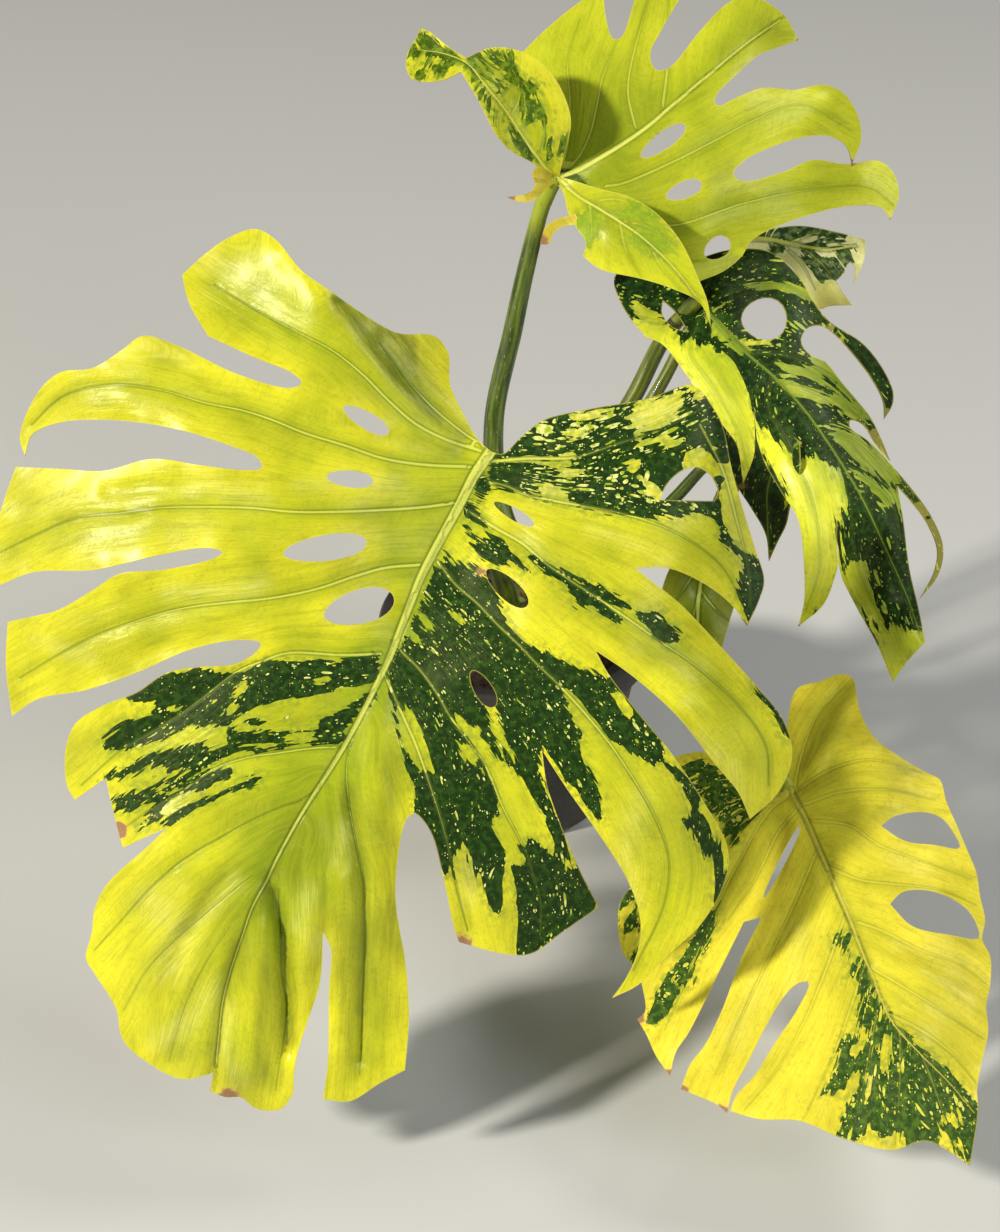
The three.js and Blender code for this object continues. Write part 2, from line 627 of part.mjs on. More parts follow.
// Back blade: a small whole blade seen only through a gap of the front one.
const backSheets = [
  {
    depth: 1500,
    outline: [
      [[742, 440], [726, 470], [708, 510], [688, 542], [668, 572], [660, 605], [668, 645], [688, 675],
        [708, 694]],
      [[708, 694], [720, 655], [730, 620], [738, 590], [740, 550], [737, 500], [746, 465], [742, 440]],
    ],
    lifts: [[742, 442, 0], [668, 600, 4], [700, 690, 8], [735, 600, 8], [700, 600, 16], [715, 510, 10]],
  },
];

// Pot: plain tapered wall with a band under the rim, a floor and drainage holes.
const wallAt = (z) => POT_BASE_RADIUS + (POT_RIM_RADIUS - 4 - POT_BASE_RADIUS) * z / POT_HEIGHT;
let pot = turned([
  [0, 0], [POT_BASE_RADIUS - 3, 0], [POT_BASE_RADIUS, 3],
  [wallAt(POT_HEIGHT - POT_BAND), POT_HEIGHT - POT_BAND],
  [POT_RIM_RADIUS - 1, POT_HEIGHT - POT_BAND + 3], [POT_RIM_RADIUS, POT_HEIGHT - 3],
  [POT_RIM_RADIUS - 2, POT_HEIGHT], [wallAt(POT_HEIGHT) - POT_WALL + 2, POT_HEIGHT],
  [wallAt(POT_HEIGHT) - POT_WALL, POT_HEIGHT - 3], [wallAt(POT_FLOOR) - POT_WALL, POT_FLOOR],
  [0, POT_FLOOR],
], 48);
for (let i = 0; i < 4; i += 1) {
  const drain = new THREE.CylinderGeometry(DRAIN_RADIUS, DRAIN_RADIUS, POT_FLOOR * 3, 16);
  drain.rotateX(Math.PI / 2);
  const angle = Math.PI / 4 + i * Math.PI / 2;
  drain.translate(DRAIN_CIRCLE * Math.cos(angle), DRAIN_CIRCLE * Math.sin(angle), POT_FLOOR / 2);
  pot = pot.subtract(toManifold(drain));
}

// Soil: fills the pot, with a loose top of bark chips and a plain hole for the stem.
const soilRadius = (z) => wallAt(z) - POT_WALL - GAP;
const soilHeap = (r) => SOIL_TOP - 5 * (r / soilRadius(SOIL_TOP)) ** 2;
const soilProfile = [[0, POT_FLOOR + GAP], [soilRadius(POT_FLOOR + GAP), POT_FLOOR + GAP]];
[1, 0.84, 0.66, 0.48, 0.3].forEach((share) => {
  const r = share * soilRadius(SOIL_TOP - 6);
  soilProfile.push([r, soilHeap(r)]);
});
soilProfile.push([0, SOIL_TOP]);
let soil = turned(soilProfile, 36);
for (let i = 0; i < BARK_CHIPS; i += 1) {
  const length = 9 + 8 * scatter(i + 1);
  const chip = new THREE.BoxGeometry(length, 6 + 4 * scatter(i + 60), 4 + 2 * scatter(i + 120));
  chip.rotateX(0.5 * (scatter(i + 180) - 0.5));
  chip.rotateY(0.6 * (scatter(i + 240) - 0.5));
  chip.rotateZ(2 * Math.PI * scatter(i + 300));
  const r = 20 + 44 * Math.sqrt((i + 0.5) / BARK_CHIPS);
  const angle = i * 2.39996;
  chip.translate(r * Math.cos(angle), r * Math.sin(angle), soilHeap(r) + 0.6);
  soil = soil.add(toManifold(chip));
}
const inside = turned([
  [0, POT_FLOOR + GAP], [soilRadius(POT_FLOOR + GAP), POT_FLOOR + GAP],
  [soilRadius(POT_HEIGHT), POT_HEIGHT], [0, POT_HEIGHT],
], 48);
soil = soil.intersect(inside);

// Stem: short and thick, ringed by the scars of old leaves, standing in the soil. Room is what is
// kept clear round it.
function stemSolid(room) {
  const profile = [[0, STEM_BOTTOM - room], [STEM_RADIUS - 1 + room, STEM_BOTTOM - room]];
  for (let ring = 0; ring < 5; ring += 1) {
    const z = SOIL_TOP - 8 + ring * 14;
    const radius = STEM_RADIUS - 1 - ring * 0.4 + room;
    profile.push([radius, z], [radius + 1.6, z + 2], [radius, z + 4]);
  }
  profile.push([STEM_RADIUS - 4 + room, STEM_TOP - 4], [STEM_RADIUS - 7 + room, STEM_TOP + room]);
  profile.push([0, STEM_TOP + room]);
  return turned(profile, 24);
}
const stem = stemSolid(0);
const stemRoom = stemSolid(GAP);
const stemHole = turned([
  [0, STEM_BOTTOM - GAP], [STEM_RADIUS + 0.6 + GAP, STEM_BOTTOM - GAP],
  [STEM_RADIUS + 0.6 + GAP, STEM_TOP], [0, STEM_TOP],
], 24);
soil = largestPiece(soil.subtract(stemHole));

addPart('pot', pot, 0x2b2522, 0.6);
addPart('soil', soil, 0x4a3223, 0.95);
addPart('stem', stem, 0x6d7a34, 0.55);

// Leaves: each stalk runs from the stem to the underside of its blade.
const onStem = (angle, z) => {
  const turn = THREE.MathUtils.degToRad(angle);
  return new THREE.Vector3(8 * Math.cos(turn), 8 * Math.sin(turn), z);
};
const leaves = [
  {
    name: 'front', sheets: [frontSheet], colour: LIME, radii: [7.5, 6, 5.5, 5, 4.6],
    route: [onStem(-102, 131), place(505, 590, 1440), place(493, 545, 1360), place(484, 492, 1290),
      place(483, 464, 1246)],
  },
  {
    name: 'top', sheets: topSheets, colour: LIME, radii: [6.5, 6.2, 5.8, 5.6, 5, 4.4],
    route: [new THREE.Vector3(0, 2, 176), place(499, 500, 1492), place(494, 420, 1478),
      place(513, 330, 1462), place(526, 269, 1452), place(545, 198, 1438), place(556, 176, 1427)],
  },
  {
    name: 'right', sheets: rightSheets, colour: DARK_GREEN, radii: [6.5, 5.6, 5.2, 5, 4.4],
    route: [onStem(18, 166), place(580, 480, 1500), place(633, 398, 1488), place(664, 338, 1474),
      place(700, 296, 1441)],
  },
  {
    name: 'far', sheets: farSheets, colour: CREAM, radii: [5.5, 4.6, 4.2, 3.8, 3],
    route: [onStem(48, 146), place(600, 480, 1535), place(659, 388, 1530), place(684, 340, 1522),
      place(720, 272, 1516), place(750, 241, 1510)],
  },
  {
    name: 'low', sheets: lowSheets, colour: LIME, radii: [6.8, 5.6, 5.2, 4.8, 4.2],
    route: [onStem(-36, 154), place(600, 590, 1470), place(680, 652, 1420), place(745, 725, 1368),
      place(789, 792, 1341)],
  },
  {
    name: 'back', sheets: backSheets, colour: OLIVE, radii: [5.5, 4.4, 4, 3.8, 3.2],
    route: [onStem(0, 126), place(620, 553, 1510), place(676, 497, 1512), place(710, 462, 1508),
      place(741, 448, 1500)],
  },
];
leaves.forEach(({ name, sheets, colour, radii, route }) => {
  const blade = bladeSolid(sheets);
  const bladeRoom = bladeSolid(sheets, BLADE_THICKNESS + 2 * GAP);
  const stalk = stalkSolid(route, radii).subtract(stemRoom).subtract(bladeRoom);
  addPart(`petiole_${name}`, largestPiece(stalk), PETIOLE_GREEN, 0.45);
  addPart(`blade_${name}`, largestPiece(blade), colour, 0.4);
});

export default plant;
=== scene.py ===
import math
import random
import bpy
import numpy as np
from mathutils import Euler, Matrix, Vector, noise
from mathutils.geometry import delaunay_2d_cdt


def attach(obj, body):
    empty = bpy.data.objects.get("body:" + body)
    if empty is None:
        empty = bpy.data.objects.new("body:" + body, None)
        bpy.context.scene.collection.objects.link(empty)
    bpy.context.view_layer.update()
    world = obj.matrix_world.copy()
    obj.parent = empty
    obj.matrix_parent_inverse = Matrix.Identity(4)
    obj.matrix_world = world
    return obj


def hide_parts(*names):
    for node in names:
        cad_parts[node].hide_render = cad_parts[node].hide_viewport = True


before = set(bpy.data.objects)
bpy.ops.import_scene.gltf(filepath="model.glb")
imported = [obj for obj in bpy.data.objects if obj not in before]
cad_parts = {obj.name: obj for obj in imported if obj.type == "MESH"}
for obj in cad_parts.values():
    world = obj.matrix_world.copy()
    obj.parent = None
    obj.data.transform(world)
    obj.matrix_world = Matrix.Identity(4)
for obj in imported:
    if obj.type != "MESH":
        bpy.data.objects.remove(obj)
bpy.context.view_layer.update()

bpy.ops.object.select_all(action="DESELECT")

# The blades are drawn on a grid as they look from the camera. A step is half a millimetre wide
# on the plane 1.25 m away, where the front blade lies.
view = {
    "sight": (-0.010, 0.0, 0.130),
    "away": 1.520,
    "pitch": math.radians(35),
    "gridMiddle": (500, 616),
    "gridStep": 0.0005,
    "gridPlane": 1.250,
    "pictureHeight": 1232,   # grid steps from the top of the picture to its bottom
    "stepMm": 0.5,           # gridStep in millimetres
}
forward = np.array([0, math.cos(view["pitch"]), -math.sin(view["pitch"])])
upward = np.array([0, math.sin(view["pitch"]), math.cos(view["pitch"])])
eye = np.array(view["sight"]) - forward * view["away"]


# camera, lights and floor
def makeCamera():
    camera = bpy.data.cameras.new("viewCamera")
    camera.sensor_width = 36
    camera.lens = camera.sensor_width * (view["gridPlane"] / view["gridStep"]) / view["pictureHeight"]
    camera.clip_start = 0.05
    camera.clip_end = 100
    holder = bpy.data.objects.new("viewCamera", camera)
    holder.location = eye
    holder.rotation_euler = (math.pi / 2 - view["pitch"], 0, 0)
    bpy.context.scene.collection.objects.link(holder)
    bpy.context.scene.camera = holder
    bpy.context.scene.view_settings.view_transform = "Standard"


studio = {
    "key": {"place": (-3.42, -2.02, 2.90), "size": 0.45, "power": 258, "tint": (1.0, 0.95, 0.84)},
    "fill": {"place": (1.9, -1.9, 1.5), "size": 1.4, "power": 32, "tint": (0.93, 0.97, 1.0)},
    "back": {"place": (1.8, 0.1, 2.2), "size": 0.9, "power": 20, "tint": (1.0, 0.98, 0.93)},
    "world": (0.80, 0.82, 0.84),
    "worldStrength": 0.13,
    "floor": (0.60, 0.60, 0.585),
    "floorSize": 60,
    "aim": (0, -0.08, 0.26),
}


def makeStudio():
    for name in ("key", "fill", "back"):
        lamp = studio[name]
        light = bpy.data.lights.new(name + "Light", "AREA")
        light.shape = "DISK"
        light.size = lamp["size"]
        light.energy = lamp["power"]
        light.color = lamp["tint"]
        holder = bpy.data.objects.new(name + "Light", light)
        holder.location = lamp["place"]
        aim = Vector(studio["aim"]) - Vector(lamp["place"])
        holder.rotation_euler = aim.to_track_quat("-Z", "Y").to_euler()
        bpy.context.scene.collection.objects.link(holder)
    world = bpy.data.worlds.new("studioAir")
    world.use_nodes = True
    air = world.node_tree.nodes["Background"]
    air.inputs["Color"].default_value = (*studio["world"], 1)
    air.inputs["Strength"].default_value = studio["worldStrength"]
    bpy.context.scene.world = world
    bpy.ops.mesh.primitive_plane_add(size=studio["floorSize"])
    floor = bpy.context.object
    floor.name = "studioFloor"
    paint = bpy.data.materials.new("floorPaint")
    paint.use_nodes = True
    shader = paint.node_tree.nodes["Principled BSDF"]
    shader.inputs["Base Color"].default_value = (*studio["floor"], 1)
    shader.inputs["Roughness"].default_value = 0.75
    floor.data.materials.append(paint)
    bpy.ops.object.select_all(action="DESELECT")


makeCamera()
makeStudio()
print("camera, lights and floor are set")


# shader building
def addNode(tree, kind, inputs=None, **settings):
    node = tree.nodes.new(kind)
    for key, value in settings.items():
        setattr(node, key, value)
    for key, value in (inputs or {}).items():
        if isinstance(value, bpy.types.NodeSocket):
            tree.links.new(value, node.inputs[key])
        else:
            node.inputs[key].default_value = value
    return node


def calc(tree, operation, first, second=0.0, third=0.0, clamp=False):
    node = addNode(tree, "ShaderNodeMath", {0: first, 1: second, 2: third}, operation=operation)
    node.use_clamp = clamp
    return node.outputs[0]


def times(tree, first, second):
    return calc(tree, "MULTIPLY", first, second)


def plus(tree, first, second, clamp=False):
    return calc(tree, "ADD", first, second, clamp=clamp)


def scaled(tree, value, factor, base):
    return calc(tree, "MULTIPLY_ADD", value, factor, base)


def addUp(tree, base, shares):
    for value, share in shares:
        base = scaled(tree, value, share, base)
    return base


def stretchSpace(tree, place, factors):
    return addNode(tree, "ShaderNodeVectorMath", {0: place, 1: factors}, operation="MULTIPLY").outputs[0]


def ramp(tree, value, low, high, toLow=0.0, toHigh=1.0, smooth=True):
    node = addNode(tree, "ShaderNodeMapRange", {0: value, 1: low, 2: high, 3: toLow, 4: toHigh})
    node.interpolation_type = "SMOOTHSTEP" if smooth else "LINEAR"
    return node.outputs[0]


def mixColours(tree, factor, first, second):
    node = addNode(tree, "ShaderNodeMix", data_type="RGBA")
    for key, value in ((0, factor), (6, first), (7, second)):
        if isinstance(value, bpy.types.NodeSocket):
            tree.links.new(value, node.inputs[key])
        elif key == 0:
            node.inputs[key].default_value = value
        else:
            node.inputs[key].default_value = (*value, 1)
    return node.outputs[2]


def paintOver(tree, colour, coats):
    for share, coat in coats:
        colour = mixColours(tree, share, colour, coat)
    return colour


def cloud(tree, place, scale, detail=2.0):
    if isinstance(scale, tuple):
        place, scale = stretchSpace(tree, place, scale), 1.0
    node = addNode(tree, "ShaderNodeTexNoise", {"Vector": place, "Scale": scale, "Detail": detail})
    return node.outputs["Fac"]


def fieldOf(tree, name, vector=False):
    node = addNode(tree, "ShaderNodeAttribute", attribute_name=name)
    return node.outputs["Vector" if vector else "Fac"]


def newGroup(name, inputs, outputs):
    group = bpy.data.node_groups.new(name, "ShaderNodeTree")
    kinds = {"float": "NodeSocketFloat", "vector": "NodeSocketVector", "colour": "NodeSocketColor"}
    for socket, kind in inputs.items():
        group.interface.new_socket(socket, in_out="INPUT", socket_type=kinds[kind])
    for socket, kind in outputs.items():
        group.interface.new_socket(socket, in_out="OUTPUT", socket_type=kinds[kind])
    source = group.nodes.new("NodeGroupInput")
    target = group.nodes.new("NodeGroupOutput")
    return group, source.outputs, target.inputs


def useGroup(tree, group, inputs):
    node = tree.nodes.new("ShaderNodeGroup")
    node.node_tree = group
    for key, value in inputs.items():
        if isinstance(value, bpy.types.NodeSocket):
            tree.links.new(value, node.inputs[key])
        elif isinstance(value, tuple) and len(value) == 3 and node.inputs[key].type == "RGBA":
            node.inputs[key].default_value = (*value, 1)
        else:
            node.inputs[key].default_value = value
    return node.outputs


def newFinish(name):
    finish = bpy.data.materials.new(name)
    finish.use_nodes = True
    tree = finish.node_tree
    return finish, tree, tree.nodes["Principled BSDF"]


def wire(tree, shader, **sources):
    for key, value in sources.items():
        socket = shader.inputs[key.replace("_", " ")]
        if isinstance(value, bpy.types.NodeSocket):
            tree.links.new(value, socket)
        else:
            socket.default_value = value


def addBump(tree, shader, height, distance, strength=1.0):
    bump = addNode(tree, "ShaderNodeBump", {"Height": height, "Distance": distance, "Strength": strength})
    tree.links.new(bump.outputs["Normal"], shader.inputs["Normal"])


# A leaf's surface: ragged green areas with pale flecks on a lime ground, ribs, veins, rim and burns.
# bladePlace is flat on the blade, veinCourse runs along and across its veins, both in millimetres.
# Painted shade darkens the ground toward olive, and a painted sheen lightens it.
leafVectors = ("bladePlace", "veinCourse")
leafFields = ("greenReach", "tint", "paintedShade", "paintedSheenAndFlecks", "burn", "ribGap", "veinGap", "rimGap")
leafColours = ("lime", "gold", "dark", "mid", "fleck", "rib", "scorch", "olive")
leafAmounts = ("veil", "flecks", "ragged", "marble", "veins")


def makeLeafGroup():
    tree, given, result = newGroup("leafSkin", {
        **dict.fromkeys(leafVectors, "vector"), **dict.fromkeys(leafColours, "colour"),
        **dict.fromkeys(leafFields + leafAmounts, "float"),
    }, {"Colour": "colour", "Roughness": "float", "Coat": "float", "Height": "float"})
    place, course = given["bladePlace"], given["veinCourse"]
    vein, rib, paintedSheenAndFlecks = given["veinGap"], given["ribGap"], given["paintedSheenAndFlecks"]
    olive = given["olive"]

    def drawn(long, wide):
        return cloud(tree, course, (1 / long, 1 / wide, 1.0), 1.0)

    # spots of a length and width: those cells whose lot is over the least get one, up to the widest
    def spotted(source, long, wide, least, widest, amount):
        spot = stretchSpace(tree, source, (1 / long, 1 / wide, 1.0))
        cell = addNode(tree, "ShaderNodeTexVoronoi", {"Vector": spot, "Scale": 1.0})
        lot = addNode(tree, "ShaderNodeSeparateColor", {"Color": cell.outputs["Color"]}).outputs[0]
        size = times(tree, ramp(tree, lot, least, 1.0, -0.05, widest, smooth=False), amount)
        return ramp(tree, calc(tree, "SUBTRACT", size, cell.outputs["Distance"]), 0.0, 0.05)

    broad, medium, brushed = drawn(26, 5.0), drawn(9, 1.7), drawn(24, 0.8)
    mottle, patchy, grain = (cloud(tree, place, scale) for scale in (0.07, 0.30, 1.6))

    # where the green lies, and its flecks
    reach = calc(tree, "MINIMUM", given["greenReach"], given["marble"])
    for wobble, share in ((broad, 1.5), (medium, 1.1)):
        sway = times(tree, calc(tree, "SUBTRACT", wobble, 0.5), times(tree, given["ragged"], share))
        reach = plus(tree, reach, sway)
    green = ramp(tree, reach, -0.18, 0.18)
    amount = times(tree, scaled(tree, paintedSheenAndFlecks, 0.6, given["flecks"]), ramp(tree, mottle, 0.3, 0.7, 0.6, 1.3))
    dusting = spotted(course, 3.0, 1.5, 0.38, 0.38, amount)
    for more in (
        spotted(place, 1.25, 1.25, 0.45, 0.30, amount), spotted(course, 9.0, 1.9, 0.74, 0.36, amount),
        spotted(course, 13.0, 2.3, 0.30, 0.42, times(tree, paintedSheenAndFlecks, 2.2)),
        spotted(course, 6.0, 1.2, 0.20, 0.46, times(tree, paintedSheenAndFlecks, 1.8)),
    ):
        dusting = calc(tree, "MAXIMUM", dusting, more)
    dusting = times(tree, dusting, green)

    # ground colours, with painted shade toward olive and a painted pale sheen
    warmth = plus(tree, given["tint"], scaled(tree, mottle, 0.5, -0.02))
    warmth = plus(tree, warmth, ramp(tree, given["rimGap"], 0.5, 15.0, 0.52, -0.05))
    warmth = plus(tree, warmth, ramp(tree, rib, 0.0, 34.0, -0.35, 0.0), clamp=True)
    net = addNode(tree, "ShaderNodeTexVoronoi", {
        "Vector": stretchSpace(tree, course, (0.24, 0.5, 1.0)), "Scale": 1.0,
    }, feature="DISTANCE_TO_EDGE").outputs["Distance"]
    netting = times(tree, ramp(tree, net, 0.0, 0.11, 1.0, 0.0), ramp(tree, patchy, 0.35, 0.65))
    # painted sheen: pale streaks where the sheen field lies; the same field also thickens the flecks on the
    # green
    paintedSheen = times(tree, paintedSheenAndFlecks, ramp(tree, brushed, 0.40, 0.60, 0.25, 0.9))
    paintedSheen = times(tree, paintedSheen, ramp(tree, medium, 0.35, 0.65, 0.5, 1.0))
    veil = times(tree, ramp(tree, reach, -5.5, 0.0), ramp(tree, patchy, 0.42, 0.60))
    ground = paintOver(tree, given["lime"], (
        (warmth, given["gold"]),
        (ramp(tree, broad, 0.40, 0.75, 0.0, 0.18), given["gold"]),
        (ramp(tree, vein, 0.2, 5.0, 0.30, 0.0), given["lime"]),
        (ramp(tree, cloud(tree, place, 0.024, 1.0), 0.40, 0.62, 0.18, 0.0), olive),
        (ramp(tree, broad, 0.28, 0.48, 0.20, 0.0), olive),
        # painted shade
        (times(tree, given["paintedShade"], ramp(tree, medium, 0.3, 0.7, 0.75, 1.0)), olive),
        (ramp(tree, brushed, 0.35, 0.65, 0.12, 0.0), olive),
        (times(tree, netting, 0.20), olive),
        # painted sheen
        (times(tree, paintedSheen, 0.75), (0.93, 0.90, 0.34)),
        (times(tree, veil, given["veil"]), (0.20, 0.29, 0.030)),
    ))
    deep = paintOver(tree, given["dark"], (
        (ramp(tree, patchy, 0.42, 0.68), given["mid"]),
        (ramp(tree, medium, 0.56, 0.72, 0.0, 0.6), given["mid"]),
    ))
    fleckTone = mixColours(tree, ramp(tree, patchy, 0.40, 0.62), given["fleck"], given["lime"])

    # waves across the veins, and fine creases that run aslant
    across = addNode(tree, "ShaderNodeSeparateXYZ", {"Vector": course}).outputs[1]
    wander = scaled(tree, mottle, 5.0, across)
    waves = calc(tree, "COSINE", times(tree, wander, 2 * math.pi / 4.6))
    clear = times(tree, ramp(tree, vein, 1.0, 5.0), ramp(tree, patchy, 0.3, 0.7, 0.3, 1.0))
    turned = addNode(tree, "ShaderNodeMapping", {"Vector": course, "Rotation": (0, 0, 1.05)}).outputs[0]
    creased = calc(tree, "SUBTRACT", cloud(tree, turned, (1 / 8, 1 / 1.3, 1.0), 1.0), 0.5)
    creased = times(tree, creased, ramp(tree, cloud(tree, place, 0.045, 1.0), 0.40, 0.60))
    creased = times(tree, creased, ramp(tree, green, 0.0, 1.0, 1.0, 0.3))

    # veins, rib, rim and burns; the darker flanks beside the veins and the rib are painted shade in their
    # grooves
    veinGrooveShade = times(tree, ramp(tree, vein, 0.05, 0.25), ramp(tree, vein, 0.3, 1.3, 0.46, 0.0))
    line = times(tree, ramp(tree, vein, -0.15, 0.12, 0.72, 0.0), given["veins"])
    line = times(tree, line, scaled(tree, green, -0.55, 1.0))
    ribGrooveShade = times(tree, ramp(tree, rib, -0.1, 0.3), ramp(tree, rib, 0.3, 1.7, 0.6, 0.0))
    ribStripe = scaled(tree, calc(tree, "SINE", times(tree, rib, 5.2)), 0.10, 0.86)
    ribTone = mixColours(tree, ribStripe, (0.16, 0.23, 0.02), given["rib"])
    burnt = ramp(tree, plus(tree, given["burn"], scaled(tree, patchy, 0.8, -0.4)), 0.35, 0.62)
    burnTone = mixColours(tree, grain, given["scorch"], (0.44, 0.26, 0.13))
    tree.links.new(paintOver(tree, ground, (
        (green, deep),
        (dusting, fleckTone),
        # painted shade and painted highlight on the two sides of each fine crease
        (ramp(tree, creased, 0.0, 0.20, 0.0, 0.08), olive),
        (ramp(tree, creased, -0.02, -0.20, 0.0, 0.05), (0.88, 0.86, 0.20)),
        (times(tree, veinGrooveShade, given["veins"]), (0.07, 0.12, 0.01)),
        (line, given["rib"]),
        (times(tree, ribGrooveShade, given["veins"]), (0.05, 0.09, 0.008)),
        (ramp(tree, rib, -0.3, 0.2, 0.94, 0.0), ribTone),
        (ramp(tree, given["rimGap"], 0.1, 0.7, 0.40, 0.0), (0.72, 0.62, 0.12)),
        (ramp(tree, given["burn"], 0.0, 0.7, 0.0, 0.45), (0.74, 0.50, 0.12)),
        (burnt, burnTone),
    )), result["Colour"])

    rough = addUp(tree, 0.27, ((patchy, 0.07), (brushed, 0.08), (burnt, 0.35), (green, 0.16)))
    tree.links.new(rough, result["Roughness"])
    tree.links.new(addUp(tree, 0.10, ((green, -0.09), (paintedSheenAndFlecks, 0.30))), result["Coat"])

    # relief in millimetres
    height = plus(tree, ramp(tree, vein, 0.0, 1.4, -0.26, 0.0), ramp(tree, vein, -0.25, 0.2, 0.13, 0.0))
    height = times(tree, height, given["veins"])
    height = plus(tree, height, ramp(tree, rib, 0.0, 1.8, -0.4, 0.0))
    height = addUp(tree, height, (
        (times(tree, waves, clear), 0.035), (brushed, 0.08), (creased, -0.07), (medium, 0.12), (broad, 0.42),
        (patchy, 0.06), (netting, -0.045), (grain, 0.012),
    ))
    tree.links.new(height, result["Height"])
    return tree


leafGroup = makeLeafGroup()


def leafFinish(name, leaf, underside):
    finish, tree, shader = newFinish(name)
    look = dict(leafLook, **leaf["look"])
    skin = useGroup(tree, leafGroup, {
        **{field: fieldOf(tree, field, vector=True) for field in leafVectors},
        **{field: fieldOf(tree, field) for field in leafFields},
        **{key: look[key] for key in leafColours + leafAmounts},
    })
    colour, rough, height, coat = (skin[key] for key in ("Colour", "Roughness", "Height", "Coat"))
    if underside:
        colour = mixColours(tree, 0.42, colour, look["under"])
        rough = plus(tree, rough, 0.18)
        height = times(tree, height, -1.0)
        coat = 0.04
    wire(tree, shader, Base_Color=colour, Roughness=rough, Coat_Weight=coat)
    shader.inputs["Specular IOR Level"].default_value = 0.24
    shader.inputs["Specular Tint"].default_value = (1.0, 0.95, 0.50, 1.0)
    shader.inputs["Coat Roughness"].default_value = 0.28
    addBump(tree, shader, height, 0.001)
    return finish


# leaf geometry: distances on the grid are in its steps, lifts and gaps are in millimetres
bladeBuild = {
    "spacing": 5.0,          # between the points of a blade
    "patchStep": 6.0,        # between the points of a marking's outline
    "ribStep": 8.0,
    "lineStep": 10.0,
    "courseStep": 12.0,
    "thickness": 0.75,
    "rimThickness": 0.4,
    "rimReach": 3,           # the blade thins over this distance to its rim
    "quilt": 2.2,            # how far the blade swells between its veins
    "quiltWidth": 7.0,
    "quiltRoom": 18,         # veins this far apart get the whole swell
    "swell": 0.8,            # uneven rise between the veins, and the size of its waves
    "swellSize": 34,
    "ripple": 1.44,          # waves along the rim, and how far in they reach
    "rippleSize": 26,
    "rippleReach": 7,
    "foldRound": 6,
    "ribHeight": 1.1,
    "ribGroove": 3.4,
    "keel": 2.2,             # how far rib and veins stand out below
    "veinKeel": 0.5,
    "veinTaper": 0.8,
}


def spots(text):
    return [[float(number) for number in spot.split(",")] for spot in text.split()]


# A closed outline as its runs. "|" stands at a sharp corner, and the last run ends where the first starts.
def outlineRuns(text):
    parts = [spots(part) for part in text.split("|")]
    runs = [parts[0]]
    for part in parts[1:]:
        runs.append(runs[-1][-1:] + part)
    runs[-1] = runs[-1] + parts[0][:1]
    return runs


def onGrid(x, y, depth):
    depth = np.asarray(depth, float) / 1000
    scale = view["gridStep"] * depth / view["gridPlane"]
    across = (np.asarray(x, float) - view["gridMiddle"][0]) * scale
    up = (view["gridMiddle"][1] - np.asarray(y, float)) * scale
    points = eye + depth[..., None] * forward + up[..., None] * upward
    points[..., 0] += across
    return points


def smoothRun(run, spacing):
    knots = np.array(run, float)
    knots = np.vstack([2 * knots[0] - knots[1], knots, 2 * knots[-1] - knots[-2]])
    steps = np.linspace(0, 1, 14, endpoint=False)[:, None]
    dense = []
    for i in range(len(knots) - 3):
        a, b, c, d = knots[i:i + 4]
        before, here, after = (max(np.linalg.norm(q - p), 1e-9) ** 0.5 for p, q in ((a, b), (b, c), (c, d)))
        leave = ((b - a) / before - (c - a) / (before + here) + (c - b) / here) * here
        arrive = ((c - b) / here - (d - b) / (here + after) + (d - c) / after) * here
        dense.append(b + leave * steps + (3 * (c - b) - 2 * leave - arrive) * steps ** 2
                     + (2 * (b - c) + leave + arrive) * steps ** 3)
    dense = np.vstack(dense + [knots[-2:-1]])
    walked = np.concatenate([[0], np.cumsum(np.linalg.norm(np.diff(dense, axis=0), axis=1))])
    marks = np.linspace(0, walked[-1], max(1, round(walked[-1] / spacing)) + 1)
    return np.stack([np.interp(marks, walked, dense[:, k]) for k in range(dense.shape[1])], axis=1)


def smoothLine(text, spacing):
    return smoothRun(spots(text), spacing)


def traceLoop(text, spacing):
    return np.vstack([smoothRun(run, spacing)[:-1] for run in outlineRuns(text)])


def ovalLoop(hole, spacing):
    cx, cy, length, width, tilt = hole
    count = max(16, round(2.2 * length / spacing))
    angle = np.arange(count) * 2 * math.pi / count
    along = np.cos(angle) * length / 2
    across = np.sin(angle) * width / 2 * (1 + 0.14 * np.cos(angle))
    turn = math.radians(tilt)
    return np.stack([cx + along * math.cos(turn) - across * math.sin(turn),
                     cy + along * math.sin(turn) + across * math.cos(turn)], axis=1)


def inLoop(loop, x, y):
    inside = np.zeros(len(x), bool)
    for (ax, ay), (bx, by) in zip(loop, np.roll(loop, 1, axis=0)):
        if ay != by:
            inside ^= ((ay > y) != (by > y)) & (x < ax + (bx - ax) * (y - ay) / (by - ay))
    return inside


